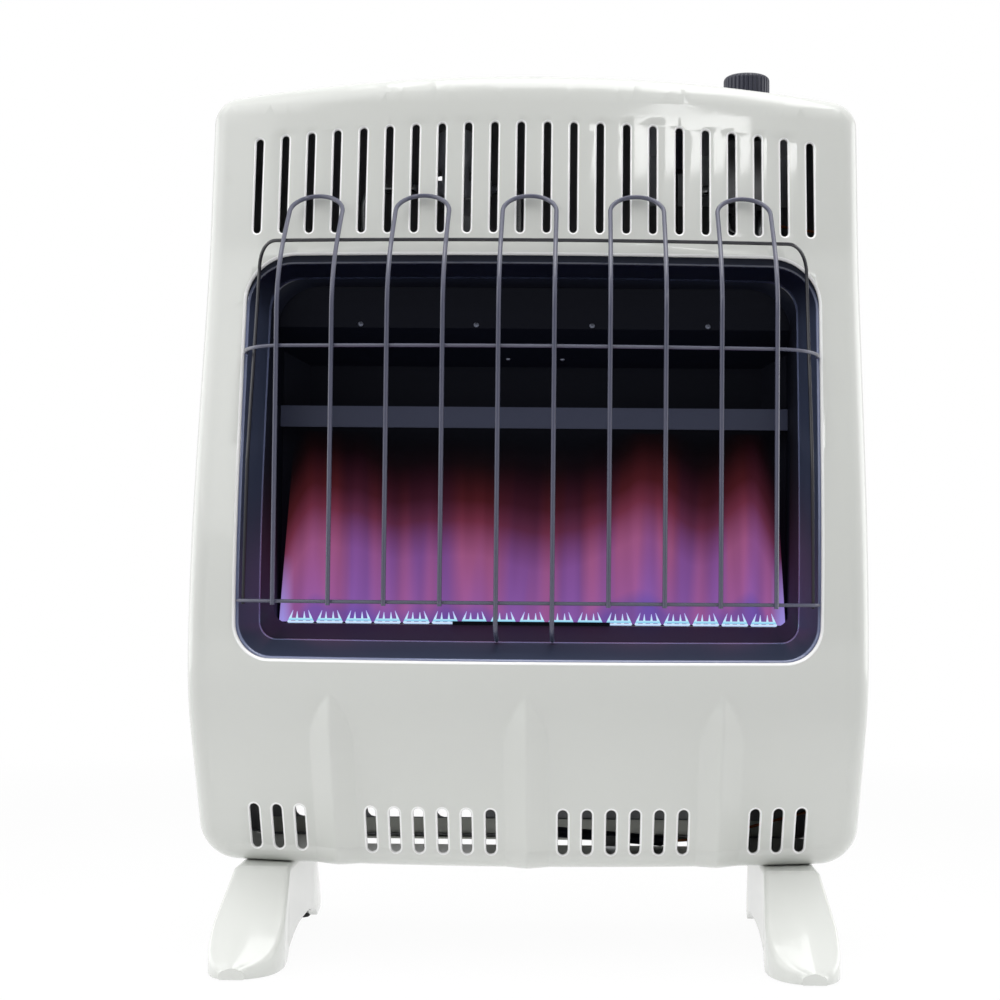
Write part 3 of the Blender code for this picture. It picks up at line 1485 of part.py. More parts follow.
def make_regulator():
    x, depth = REGULATOR_X, REGULATOR_DEPTH
    half = REGULATOR_HALF_WIDTH
    y = y_at(depth)
    body = box(
        "pressure_regulator",
        (x - half, x + half),
        (depth - half, depth + half),
        (REGULATOR_BOTTOM_Z, REGULATOR_CAN_Z[0] + half / 2),
        DIE_CAST,
        edge=0.002,
    )
    bosses = bmesh.new()
    reach = REGULATOR_BOSS_REACH
    z = REGULATOR_BOSS_Z
    add_rod(bosses, (x - reach, y, z), (x + reach, y, z), REGULATOR_BOSS_RADIUS, 16)
    cut(body, cutter("add_regulator_bosses", bosses), "UNION")
    can = turned(
        "add_regulator_can",
        [
            (0, 0),
            (REGULATOR_CAN_RADIUS - 0.002, 0),
            (REGULATOR_CAN_RADIUS, 0.002),
            (REGULATOR_CAN_RADIUS, REGULATOR_CAN_Z[1] - REGULATOR_CAN_Z[0] - 0.003),
            (REGULATOR_CAN_RADIUS - 0.003, REGULATOR_CAN_Z[1] - REGULATOR_CAN_Z[0]),
            (0, REGULATOR_CAN_Z[1] - REGULATOR_CAN_Z[0]),
        ],
        (x, y, REGULATOR_CAN_Z[0]),
        None,
        sides=24,
        collection=CUTTERS,
    )
    can.hide_render = True
    can.display_type = "WIRE"
    cut(body, can, "UNION")
    back = SHEET + GAP
    high = REGULATOR_BOTTOM_Z - GAP
    profile = [
        (back, high - SHEET - 0.022),
        (back, high),
        (depth + half, high),
        (depth + half, high - SHEET),
        (back + SHEET, high - SHEET),
        (back + SHEET, high - SHEET - 0.022),
    ]
    extrude_profile("regulator_bracket", profile, (x - half - 0.002, x + half + 0.002), ZINC)


def make_inlet():
    y = y_at(INLET_DEPTH)
    low, high = INLET_Z
    turned(
        "inlet_fitting",
        [
            (0, 0.014),
            (INLET_BORE, 0.014),
            (INLET_BORE, 0),
            (INLET_RADIUS, 0),
            (INLET_RADIUS, 0.018),
            (INLET_RADIUS * 0.7, 0.020),
            (INLET_RADIUS * 0.7, high - low),
            (0, high - low),
        ],
        (INLET_X, y, low),
        BRASS,
        sides=16,
    )
    back = SHEET + GAP
    plate = INLET_PLATE_Z
    profile = [
        (back, plate - 0.016),
        (back, plate + SHEET),
        (INLET_DEPTH + 0.014, plate + SHEET),
        (INLET_DEPTH + 0.014, plate),
        (back + SHEET, plate),
        (back + SHEET, plate - 0.016),
    ]
    bracket = extrude_profile("inlet_bracket", profile, (INLET_X - 0.014, INLET_X + 0.014), ZINC)
    place = [(INLET_X, INLET_DEPTH, plate)]
    cut(bracket, hole_cutter("cut_inlet_plate", place, INLET_RADIUS + GAP, 0.01))


def piped(name, corners, radius, finish, bend=0.012, resolution=2):
    """A pipe through (x, depth, z) corners."""
    route = bent_path([(x, y_at(d), z) for x, d, z in corners], bend, 3 if radius > LEAD_RADIUS else 2)
    tube(name, route, radius, finish, resolution)


def make_pipes():
    boss_left = REGULATOR_X - REGULATOR_BOSS_REACH - GAP
    boss_right = REGULATOR_X + REGULATOR_BOSS_REACH + GAP
    boss_z = REGULATOR_BOSS_Z
    reg = REGULATOR_DEPTH
    piped(
        "inlet_pipe",
        [
            (INLET_X, INLET_DEPTH, INLET_Z[1] + GAP),
            (INLET_X, INLET_DEPTH, INLET_PIPE_Z[0]),
            (INLET_X, reg, INLET_PIPE_Z[1]),
            (INLET_X, reg, boss_z),
            (boss_left, reg, boss_z),
        ],
        PIPE_RADIUS,
        ALUMINIUM,
    )
    piped(
        "supply_pipe",
        [
            (boss_right, reg, boss_z),
            (SUPPLY_PIPE_X[0], reg, boss_z),
            (SUPPLY_PIPE_X[0], reg, SUPPLY_PIPE_Z),
            (SUPPLY_PIPE_X[1], reg, SUPPLY_PIPE_Z),
            (SUPPLY_PIPE_X[1], reg, boss_z),
            (KNOB_X - VALVE_HALF_WIDTH - GAP, reg, boss_z),
        ],
        PIPE_RADIUS,
        ALUMINIUM,
        bend=PIPE_BEND,
    )
    below = VALVE_Z[0] - GAP
    burner_depth = sum(BURNER_DEPTH) / 2
    piped(
        "burner_pipe",
        [
            (*BURNER_PIPE_START[:2], below),
            BURNER_PIPE_START,
            (BURNER_PIPE_X, BURNER_PIPE_START[1], BURNER_PIPE_Z[0]),
            (BURNER_PIPE_X, burner_depth, BURNER_PIPE_Z[1]),
            (BURNER_PIPE_X, burner_depth, MIXER_Z),
            (INJECTOR_X[1] + GAP, burner_depth, MIXER_Z),
        ],
        PIPE_RADIUS,
        ALUMINIUM,
        bend=PIPE_BEND,
    )
    foot = PILOT_FOOT_Z - GAP
    piped(
        "pilot_pipe",
        [
            (*PILOT_PIPE_START[:2], below),
            PILOT_PIPE_START,
            (PILOT_PIPE_X, PILOT_PIPE_DEPTH, PILOT_PIPE_Z[0]),
            (PILOT_PIPE_X, PILOT_PIPE_DEPTH, PILOT_PIPE_Z[1]),
            (0.0, PILOT_DEPTH, PILOT_PIPE_Z[1]),
            (0.0, PILOT_DEPTH, foot),
        ],
        THIN_PIPE_RADIUS,
        ALUMINIUM,
        bend=0.004,
        resolution=1,
    )
    piped(
        "ignition_lead",
        [
            (IGNITER_X, KNOB_DEPTH, IGNITER_BOTTOM_Z - GAP),
            (IGNITER_X, KNOB_DEPTH + 0.010, IGNITION_LEAD_Z[0]),
            (IGNITION_LEAD_X, IGNITION_LEAD_DEPTH[0], IGNITION_LEAD_Z[1]),
            (IGNITION_LEAD_X, IGNITION_LEAD_DEPTH[1], IGNITION_LEAD_Z[2]),
            (PILOT_SPACING, IGNITION_LEAD_DEPTH[1], IGNITION_LEAD_Z[2]),
            (PILOT_SPACING, PILOT_DEPTH, IGNITION_LEAD_Z[3]),
            (PILOT_SPACING, PILOT_DEPTH, foot),
        ],
        LEAD_RADIUS,
        LEAD,
        bend=0.0015,
        resolution=1,
    )
    piped(
        "thermocouple_lead",
        [
            (-PILOT_SPACING, PILOT_DEPTH, foot),
            (-PILOT_SPACING, PILOT_DEPTH, THERMO_LEAD_Z[3]),
            (-PILOT_SPACING, PILOT_DEPTH + 0.006, THERMO_LEAD_Z[2]),
            (THERMO_LEAD_X[1], THERMO_LEAD_DEPTH[2], THERMO_LEAD_Z[2]),
            (THERMO_LEAD_X[1], THERMO_LEAD_DEPTH[1], THERMO_LEAD_Z[1]),
            (THERMO_LEAD_X[0], THERMO_LEAD_DEPTH[0], THERMO_LEAD_Z[0]),
            (THERMO_LEAD_X[0], THERMO_LEAD_DEPTH[0], below),
        ],
        CAPILLARY_RADIUS,
        COPPER,
        bend=0.002,
        resolution=1,
    )


def make_thermostat():
    start = Vector((BULB_X[0], y_at(BULB_DEPTH), BULB_Z[0]))
    end = Vector((BULB_X[1], y_at(BULB_DEPTH), BULB_Z[1]))
    length = (end - start).length
    radius = BULB_RADIUS
    turned(
        "thermostat_bulb",
        [(0, 0), (radius * 0.6, 0), (radius, 0.002)]
        + [(radius, length - 0.004), (radius * 0.5, length), (0, length)],
        start,
        KNOB_PLASTIC,
        axis=end - start,
        sides=12,
    )
    tip = end + (end - start).normalized() * GAP
    piped(
        "capillary_tube",
        [
            (tip.x, BULB_DEPTH, tip.z),
            (CAPILLARY_X[2], BULB_DEPTH, CAPILLARY_Z[3]),
            (CAPILLARY_X[1], CAPILLARY_DEPTH, CAPILLARY_Z[2]),
            (CAPILLARY_X[1], CAPILLARY_DEPTH, CAPILLARY_Z[1]),
            (CAPILLARY_X[0], CAPILLARY_DEPTH, CAPILLARY_Z[0]),
            (CAPILLARY_X[0], CAPILLARY_DEPTH, VALVE_Z[0] - GAP),
        ],
        CAPILLARY_RADIUS,
        COPPER,
        bend=0.006,
        resolution=1,
    )
    low = FLOOR_CLEARANCE + (SHEET + GAP) * 2
    reach = BULB_DEPTH + BULB_RADIUS + GAP * 2
    start_depth = SHEET + GAP + RAIL_DEPTH + GAP
    under = (BULB_Z[0] + BULB_Z[1]) / 2 - BULB_RADIUS - GAP * 4
    profile = [
        (start_depth, low),
        (start_depth + 0.006, under - CLIP_SHEET),
        (reach + CLIP_SHEET, under - CLIP_SHEET),
        (reach + CLIP_SHEET, under + BULB_RADIUS * 1.6),
        (reach, under + BULB_RADIUS * 1.6),
        (reach, under),
        (start_depth + 0.006, under),
        (start_depth, low + CLIP_SHEET),
    ]
    extrude_profile("bulb_clip", profile, CLIP_X, ZINC)


def foot_top_z(depth):
    """Upper edge of the foot: level under the casing, falling to toe and heel."""
    rear, front = FOOT_SEAT_DEPTH
    if depth > front:
        share = (depth - front) / (FOOT_TOE_DEPTH - front)
        return FOOT_TOP_Z - (FOOT_TOP_Z - 0.0085) * share
    if depth < rear:
        share = (rear - depth) / (rear - FOOT_HEEL_DEPTH)
        return FOOT_TOP_Z - (FOOT_TOP_Z - 0.0140) * share**1.2
    return FOOT_TOP_Z


def foot_middle(side, depth):
    """The foot's centre line, which turns a little outwards towards the toe."""
    grown = max(0.0, (depth - FOOT_SEAT_DEPTH[1]) / (FOOT_TOE_DEPTH - FOOT_SEAT_DEPTH[1]))
    return side * (FOOT_X + FOOT_SPLAY * grown)


def foot_half_width(depth):
    rear, front = FOOT_SEAT_DEPTH
    if depth < rear:
        share = (rear - depth) / (rear - FOOT_HEEL_DEPTH)
        return FOOT_TOP_HALF_WIDTH + (FOOT_HEEL_HALF_WIDTH - FOOT_TOP_HALF_WIDTH) * share
    grown = min(1.0, max(0.0, (depth - front) / (TOE_PAD_DEPTH - front)))
    plain = FOOT_TOP_HALF_WIDTH + (FOOT_TOE_HALF_WIDTH - FOOT_TOP_HALF_WIDTH) * grown
    left = (FOOT_TOE_DEPTH - depth) / (FOOT_TOE_DEPTH - TOE_PAD_DEPTH)
    if left < 1:
        plain *= max(0.12, (1 - (1 - left) ** 2.4) ** 0.62)
    return plain


def foot_bottom_z(depth):
    """Lower edge: flat round the pads, arched between them."""
    heel_end = HEEL_PAD_DEPTH + PAD_HALF_SIZE[1] + 0.002
    toe_end = TOE_PAD_DEPTH - PAD_HALF_SIZE[1] - 0.002
    if depth <= heel_end or depth >= toe_end:
        return FOOT_BOTTOM_Z
    share = (depth - heel_end) / (toe_end - heel_end)
    return FOOT_BOTTOM_Z + (FOOT_ARCH_Z - FOOT_BOTTOM_Z) * (1 - abs(2 * share - 1) ** 2.6)


def make_foot(name, side):
    """A hollow arched foot with a rubber pad let into its toe and its heel."""
    depths = [-0.036, -0.028, -0.012, 0.005, 0.030, 0.055, 0.083, 0.110, 0.130]
    depths += [0.146, 0.158, 0.170, 0.180, 0.190, 0.198, 0.205, 0.211, 0.215, 0.218]
    bm = bmesh.new()
    rings = []
    for depth in depths:
        middle = foot_middle(side, depth)
        half = foot_half_width(depth)
        top, bottom = foot_top_z(depth), foot_bottom_z(depth)
        edge = min(FOOT_EDGE, half * 0.45, (top - bottom) * 0.45)
        fall = max(0.0, min(1.0, (depth - FOOT_SEAT_DEPTH[1]) / 0.05))
        shoulder = top - FOOT_CROWN * fall * min(1.0, (top - bottom) / 0.02)
        section = [
            (-half, bottom),
            (-half, shoulder - edge),
            (-half + edge, shoulder - edge * 0.15),
            (0, top),
            (half - edge, shoulder - edge * 0.15),
            (half, shoulder - edge),
            (half, bottom),
            (0, bottom),
        ]
        loop = [bm.verts.new((middle + x, y_at(depth), z)) for x, z in section]
        rings.append([bm.edges.new(pair) for pair in zip(loop, loop[1:] + loop[:1])])
        if depth in (depths[0], depths[-1]):
            bm.faces.new(loop)
    for first, second in zip(rings, rings[1:]):
        bmesh.ops.bridge_loops(bm, edges=first + second)
    foot = from_bmesh(name, bm, CREAM, smooth=True)
    toe = TOE_PAD_DEPTH - PAD_HALF_SIZE[1] - 0.004
    heel = HEEL_PAD_DEPTH + PAD_HALF_SIZE[1] + 0.008
    skin = 0.0035
    profile = [
        (toe, -0.01),
        (toe, foot_top_z(toe) - FOOT_CROWN - skin),
        (FOOT_SEAT_DEPTH[1] - 0.002, FOOT_TOP_Z - skin),
        (FOOT_SEAT_DEPTH[0] + 0.002, FOOT_TOP_Z - skin),
        (heel, foot_top_z(heel) - skin * 1.6),
        (heel, -0.01),
    ]
    seat = side * FOOT_X
    span = (seat - FOOT_HOLLOW_HALF_WIDTH, seat + FOOT_HOLLOW_HALF_WIDTH)
    hollow = extrude_profile("cut_" + name, profile, span, None, CUTTERS)
    hollow.hide_render = True
    hollow.display_type = "WIRE"
    cut(foot, hollow)
    for end, depth, half in (
        ("toe", TOE_PAD_DEPTH, PAD_HALF_SIZE[0]),
        ("heel", HEEL_PAD_DEPTH, HEEL_PAD_HALF_WIDTH),
    ):
        middle = foot_middle(side, depth)
        pocket = rounded_block(middle, depth, half + GAP, PAD_HALF_SIZE[1] + GAP, -0.01, PAD_THICKNESS + GAP)
        cut(foot, cutter(f"cut_{name}_{end}", pocket))
        pad = rounded_block(middle, depth, half, PAD_HALF_SIZE[1], 0, PAD_THICKNESS)
        from_bmesh(f"{name}_{end}_pad", pad, RUBBER)


def rounded_block(x, depth, half_width, half_length, low, high):
    """A block with rounded upright edges."""
    bm = bmesh.new()
    xs = (x - half_width, x + half_width)
    add_box(bm, xs, (depth - half_length, depth + half_length), (low, high))
    upright = [e for e in bm.edges if abs(e.verts[0].co.z - e.verts[1].co.z) > GAP]
    bmesh.ops.bevel(bm, geom=upright, offset=0.006, segments=3, profile=0.5, affect="EDGES")
    return bm


make_front_cover()
make_rear_panel()
make_rear_rail()
make_window_bezel()
make_firebox()
make_firebox_brackets()
make_deflector()
make_burner()
make_mixer()
make_injector()
make_pilot()
make_guard()
make_valve()
make_control_panel()
make_igniter()
make_regulator()
make_inlet()
make_pipes()
make_thermostat()
make_foot("left_foot", -1)
make_foot("right_foot", 1)
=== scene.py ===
import math

import bmesh
import bpy
from mathutils import Matrix, Vector


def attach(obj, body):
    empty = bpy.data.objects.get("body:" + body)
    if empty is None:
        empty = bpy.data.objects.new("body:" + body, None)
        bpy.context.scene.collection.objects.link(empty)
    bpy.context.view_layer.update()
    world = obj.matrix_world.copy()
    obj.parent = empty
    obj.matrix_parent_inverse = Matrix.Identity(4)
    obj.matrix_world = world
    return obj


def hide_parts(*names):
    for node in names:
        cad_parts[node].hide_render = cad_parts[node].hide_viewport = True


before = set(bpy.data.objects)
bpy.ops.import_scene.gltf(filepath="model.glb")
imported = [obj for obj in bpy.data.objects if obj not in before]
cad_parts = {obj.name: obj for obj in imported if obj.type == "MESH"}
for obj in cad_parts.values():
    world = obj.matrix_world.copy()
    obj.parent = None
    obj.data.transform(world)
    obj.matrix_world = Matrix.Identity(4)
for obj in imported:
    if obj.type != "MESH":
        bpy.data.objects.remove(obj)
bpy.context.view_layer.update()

# Front cover
# One pressed sheet of steel, drawn round its edge into the side walls, with its slots pierced and
# rolled inwards and its window turned in. It is powder coated in cream, and it hooks over the rear
# panel, where its lower edge is screwed.


def linear(code):
    """An sRGB hex colour as linear RGBA."""
    parts = [int(code[k : k + 2], 16) / 255 for k in (1, 3, 5)]
    light = [c / 12.92 if c <= 0.04045 else ((c + 0.055) / 1.055) ** 2.4 for c in parts]
    return (*light, 1.0)


def add_node(tree, kind, inputs=None, **settings):
    """A node with its settings. An input given a socket, or a node, which stands for that node's
    first output, is linked, and any other value is set."""
    made = tree.nodes.new("ShaderNode" + kind)
    for name, value in settings.items():
        setattr(made, name, value)
    for name, value in (inputs or {}).items():
        if isinstance(value, bpy.types.Node):
            value = value.outputs[0]
        if isinstance(value, bpy.types.NodeSocket):
            tree.links.new(value, made.inputs[name])
        else:
            made.inputs[name].default_value = value
    return made


def new_finish(name, code, roughness, **settings):
    """A material with its colour, roughness and any other sockets of its shader set."""
    made = bpy.data.materials.new(name)
    made.use_nodes = True
    shader = made.node_tree.nodes["Principled BSDF"]
    shader.inputs["Base Color"].default_value = linear(code)
    shader.inputs["Roughness"].default_value = roughness
    for socket, value in settings.items():
        shader.inputs[socket.replace("_", " ")].default_value = value
    return made


def drive(finish, socket, node):
    """A node's first output drives a socket of the finish's shader."""
    tree = finish.node_tree
    tree.links.new(node.outputs[0], tree.nodes["Principled BSDF"].inputs[socket])


def roughen(finish, size, height):
    """Bumps of a real size and height, in metres, on a material's surface."""
    tree = finish.node_tree
    place = add_node(tree, "TexCoord")
    grain = add_node(
        tree, "TexNoise", {"Vector": place.outputs["Object"], "Scale": 1 / size, "Detail": 2.0}
    )
    bump = add_node(tree, "Bump", {"Height": grain, "Strength": 1.0, "Distance": height})
    drive(finish, "Normal", bump)


def finish_piece(piece, body="heater", replaced=()):
    """A piece rides on its body and stands for its CAD nodes."""
    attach(piece, body)
    if replaced:
        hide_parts(*replaced)
    return piece


def new_piece(name, bm, finish, sharp=35.0):
    """An object from a finished bmesh, smooth shaded but for its sharp edges."""
    mesh = bpy.data.meshes.new(name)
    bm.to_mesh(mesh)
    bm.free()
    mesh.shade_smooth()
    mesh.set_sharp_from_angle(angle=math.radians(sharp))
    mesh.materials.append(finish)
    piece = bpy.data.objects.new(name, mesh)
    bpy.context.scene.collection.objects.link(piece)
    return piece


def apply_modifiers(piece):
    """The piece's mesh with its modifiers made real."""
    bpy.context.view_layer.update()
    graph = bpy.context.evaluated_depsgraph_get()
    mesh = bpy.data.meshes.new_from_object(piece.evaluated_get(graph))
    piece.modifiers.clear()
    piece.data = mesh
    return piece


def cut_away(piece, drills):
    """Takes the drills' room out of a piece, and then the drills out of the scene."""
    for drill in drills:
        step = piece.modifiers.new(drill.name, "BOOLEAN")
        step.operation = "DIFFERENCE"
        step.solver = "EXACT"
        step.object = drill
    apply_modifiers(piece)
    piece.data.set_sharp_from_angle(angle=math.radians(50))
    for drill in drills:
        bpy.data.objects.remove(drill)


def closed_ring(bm, places):
    """Points in a closed row, and the edges that join them."""
    points = [bm.verts.new(place) for place in places]
    return points, [bm.edges.new(pair) for pair in zip(points, points[1:] + points[:1])]


def add_cone(bm, segments, foot_radius, tip_radius, length, matrix):
    """A closed cone along the Z of its matrix, or a cylinder when its radii are equal."""
    bmesh.ops.create_cone(
        bm,
        cap_ends=True,
        segments=segments,
        radius1=foot_radius,
        radius2=tip_radius,
        depth=length,
        matrix=matrix,
    )


def cut_across(bm, below, place, normal):
    """A line cut on a plane through every face that lies lower than a height."""
    chosen = [f for f in bm.faces if f.calc_center_median().z < below]
    geom = set(chosen)
    for face in chosen:
        geom.update(face.edges)
        geom.update(face.verts)
    bmesh.ops.bisect_plane(bm, geom=list(geom), plane_co=place, plane_no=normal)


# The outline seen from the front
HALF_WIDTH = 0.235
FLOOR_CLEARANCE = 0.0636
TOP_Z = 0.6305
ARCH_RADIUS = 1.60
TOP_CORNER = 0.020
BOTTOM_CORNER = 0.028
EDGE = 0.013
SHEET = 0.0012
ARCH_Z = TOP_Z - ARCH_RADIUS
TOP_CORNER_X = HALF_WIDTH - TOP_CORNER
TOP_CORNER_Z = ARCH_Z + math.sqrt((ARCH_RADIUS - TOP_CORNER) ** 2 - TOP_CORNER_X**2)
TOP_CORNER_TURN = math.atan2(TOP_CORNER_Z - ARCH_Z, TOP_CORNER_X)
BOTTOM_CORNER_X = HALF_WIDTH - BOTTOM_CORNER
BOTTOM_CORNER_Z = FLOOR_CLEARANCE + BOTTOM_CORNER

# The front seen from the side: a leaning upper part, a belly, and a skirt that is raked back
WALL_Y = 0.091
SHOULDER_Z = 0.500
SHOULDER_DEPTH = 0.140
BELLY_Z = 0.215
BELLY_DEPTH = 0.2075
BELLY_RISE = SHOULDER_Z - BELLY_Z
SKIRT_Z = 0.160
SKIRT_DEPTH = 0.195
SKIRT_RISE = BELLY_Z - SKIRT_Z
UPPER_LEAN = math.tan(math.radians(6.5))
SHOULDER_LEAN = math.tan(math.radians(16.7))
SKIRT_RAKE = math.tan(math.radians(27.5))

# How far the front falls back at BOW_X from its middle, and how much more it does in the belly
BOW_X = 0.200
UPPER_BOW = 0.011
BELLY_BOW = 0.0125

RIB_PITCH = 0.133
RIB_HEIGHT = 0.008
RIB_HALF_WIDTH = 0.0145
RIB_TOP_Z = 0.187
RIB_FADE = 0.035
CREST_ROUND = 0.0012
FLANK_ROUND = 0.0005


def y_at(depth):
    """The Y of a place that lies a depth in front of the wall."""
    return WALL_Y - depth


def hermite(t, start, end, start_slope, end_slope, span):
    """A smooth curve from start to end over a span, with a given slope at each."""
    return (
        start * (2 * t**3 - 3 * t**2 + 1)
        + end * (3 * t**2 - 2 * t**3)
        + span * start_slope * (t**3 - 2 * t**2 + t)
        + span * end_slope * (t**3 - t**2)
    )


def plain_depth(x, z):
    """Depth of the pressed front from the wall, without its ribs."""
    down = (SHOULDER_Z - z) / BELLY_RISE
    share = min(1.0, max(0.0, down))
    bow = (UPPER_BOW + BELLY_BOW * share * (2 - share)) * (x / BOW_X) ** 2
    if z >= SHOULDER_Z:
        return SHOULDER_DEPTH - (z - SHOULDER_Z) * UPPER_LEAN - bow
    if z >= BELLY_Z:
        return hermite(down, SHOULDER_DEPTH, BELLY_DEPTH, SHOULDER_LEAN, 0.0, BELLY_RISE) - bow
    if z >= SKIRT_Z:
        down = (BELLY_Z - z) / SKIRT_RISE
        return hermite(down, BELLY_DEPTH, SKIRT_DEPTH, 0.0, -SKIRT_RAKE, SKIRT_RISE) - bow
    return SKIRT_DEPTH - (SKIRT_Z - z) * SKIRT_RAKE - bow


def rib_height(x, z):
    """Ribs with a narrow crest, fading out upwards."""
    rise = min(1.0, max(0.0, (RIB_TOP_Z - z) / RIB_FADE))
    if rise <= 0:
        return 0.0
    crest = RIB_HEIGHT * rise * (2 - rise)
    aside = min(abs(x - k * RIB_PITCH) for k in (-1, 0, 1))
    rounded = math.hypot(aside, CREST_ROUND) - CREST_ROUND
    over = crest - rounded * RIB_HEIGHT / RIB_HALF_WIDTH
    return max(0.0, 0.5 * (over + math.hypot(over, FLANK_ROUND)) - 0.5 * FLANK_ROUND)


def front_depth(x, z):
    """Depth of the pressed front with its ribs."""
    return plain_depth(x, z) + rib_height(x, z)


def arc_points(centre_x, centre_z, radius, start, end, steps):
    """Points on an arc in the plane of the front, from one turn to another."""
    turns = [start + (end - start) * k / steps for k in range(steps + 1)]
    return [(centre_x + radius * math.cos(a), centre_z + radius * math.sin(a)) for a in turns]


def cover_outline(inset):
    """The cover seen from the front, drawn in by an inset."""
    turn = TOP_CORNER_TURN
    right_top = arc_points(TOP_CORNER_X, TOP_CORNER_Z, TOP_CORNER - inset, 0, turn, 10)
    arch = arc_points(0, ARCH_Z, ARCH_RADIUS - inset, turn, math.pi - turn, 60)
    left_top = [(-x, z) for x, z in reversed(right_top)]
    left_bottom = arc_points(
        -BOTTOM_CORNER_X, BOTTOM_CORNER_Z, BOTTOM_CORNER - inset, math.pi, 1.5 * math.pi, 12
    )
    right_bottom = [(-x, z) for x, z in reversed(left_bottom)]
    return right_top + arch[1:-1] + left_top + left_bottom + right_bottom


def outward(x, z):
    """Unit direction out of the cover's outline, and how far the point lies from the outline."""
    side = 1 if x > 0 else -1
    if z < BOTTOM_CORNER_Z:
        if abs(x) <= BOTTOM_CORNER_X:
            return Vector((0, -1)), z - FLOOR_CLEARANCE
        ray = Vector((x - side * BOTTOM_CORNER_X, z - BOTTOM_CORNER_Z))
        return ray.normalized(), BOTTOM_CORNER - ray.length
    if z <= TOP_CORNER_Z:
        return Vector((side, 0)), HALF_WIDTH - abs(x)
    ray = Vector((abs(x) - TOP_CORNER_X, z - TOP_CORNER_Z))
    if math.atan2(ray.y, ray.x) < TOP_CORNER_TURN:
        return Vector((side * ray.x, ray.y)).normalized(), TOP_CORNER - ray.length
    ray = Vector((x, z - ARCH_Z))
    return ray.normalized(), ARCH_RADIUS - ray.length


# Every slot is (x, low, high, half width). The upper ones end on an arch, like the cover's top
SLOT_ROLL = 0.0014
ROLL_LIP = 0.0008
UPPER_SLOT_ARCH = 1.65
SLOTS = []
for k in range(22):
    x = (k - 10.5) * 0.01895
    SLOTS.append((x, 0.512, 0.594 - UPPER_SLOT_ARCH + math.sqrt(UPPER_SLOT_ARCH**2 - x**2), 0.0026))
for side in (-1, 1):
    for x in [0.0249 + k * 0.0167 for k in range(6)] + [0.1587 + k * 0.0165 for k in range(3)]:
        SLOTS.append((side * x, 0.0742, 0.1070, 0.0034))

WINDOW_HALF_WIDTH = 0.1993
WINDOW_LOW = 0.2105
WINDOW_HIGH = 0.4955
WINDOW_TOP_CORNER = 0.034
WINDOW_BOTTOM_CORNER = 0.024
WINDOW_SPREAD = 0.0052
WINDOW_ROLL = 0.0020


def window_spread(z):
    """The window widens a little upwards."""
    up = (z - WINDOW_LOW) / (WINDOW_HIGH - WINDOW_LOW)
    return 1 + WINDOW_SPREAD / WINDOW_HALF_WIDTH * up


def window_size(grow):
    """Half width, low, high, top corner and bottom corner of the window, grown all round."""
    corners = (WINDOW_TOP_CORNER + grow, WINDOW_BOTTOM_CORNER + grow)
    return (WINDOW_HALF_WIDTH + grow, WINDOW_LOW - grow, WINDOW_HIGH + grow, *corners)


def oblong(half, low, high, top_corner, bottom_corner, steps):
    """A rounded oblong, anticlockwise from the foot of its right side."""
    top = arc_points(half - top_corner, high - top_corner, top_corner, 0, math.pi / 2, steps)
    foot = arc_points(
        half - bottom_corner, low + bottom_corner, bottom_corner, -math.pi / 2, 0, steps
    )
    right = foot + top
    return right + [(-x, z) for x, z in reversed(right)]


def slot_ring(x, low, high, half):
    """A slot's rim in the flat sheet, where its roll begins."""
    upper = arc_points(x, high - half, half + SLOT_ROLL, 0, math.pi, 8)
    return upper + arc_points(x, low + half, half + SLOT_ROLL, math.pi, 2 * math.pi, 8)


def into_opening(x, z):
    """Unit direction from a rim point into its opening, and the radius of the roll there."""
    near = 0.010
    if WINDOW_LOW - near < z < WINDOW_HIGH + near and abs(x) < WINDOW_HALF_WIDTH + near:
        x = x / window_spread(z)
        high = z > (WINDOW_LOW + WINDOW_HIGH) / 2
        across = WINDOW_HALF_WIDTH - (WINDOW_TOP_CORNER if high else WINDOW_BOTTOM_CORNER)
        up = min(WINDOW_HIGH - WINDOW_TOP_CORNER, max(WINDOW_LOW + WINDOW_BOTTOM_CORNER, z))
        inside = Vector((min(across, max(-across, x)), up))
        return (inside - Vector((x, z))).normalized(), WINDOW_ROLL
    slot = min(SLOTS, key=lambda s: abs(s[0] - x) + (0 if s[1] - near < z < s[2] + near else 1))
    inside = Vector((slot[0], min(slot[2] - slot[3], max(slot[1] + slot[3], z))))
    return (inside - Vector((x, z))).normalized(), SLOT_ROLL


def flat_blank():
    """The flat sheet, pierced, with lines cut across it where it will bend."""
    bm = bmesh.new()
    outline = cover_outline(EDGE * (1 - math.sin(math.pi / 4)))
    window = [(x * window_spread(z), z) for x, z in oblong(*window_size(WINDOW_ROLL), 14)]
    edges = []
    for loop in [outline, window] + [slot_ring(*slot) for slot in SLOTS]:
        edges += closed_ring(bm, [(x, 0.0, z) for x, z in loop])[1]
    bmesh.ops.triangle_fill(bm, edges=edges, use_beauty=True, normal=(0, -1, 0))
    across, up = Vector((1, 0, 0)), Vector((0, 0, 1))
    lines = [(across, k * 0.012, TOP_Z) for k in range(-19, 20)]
    lines += [(up, 0.064 + k * 0.008, TOP_Z) for k in range(72)]
    lines += [(up, 0.146 + k * 0.004, 0.24) for k in range(22)]
    for k in (-1, 0, 1):
        lines += [(across, k * RIB_PITCH + aside * 0.00125, 0.190) for aside in range(-13, 14)]
    for inset in (0.0050, 0.0065, 0.0085, 0.0105, EDGE):
        lines += [(across, side * (HALF_WIDTH - inset), TOP_Z) for side in (-1, 1)]
        lines.append((up, FLOOR_CLEARANCE + inset, 0.08))
    for normal, distance, below in lines:
        cut_across(bm, below, normal * distance, normal)
    return bm


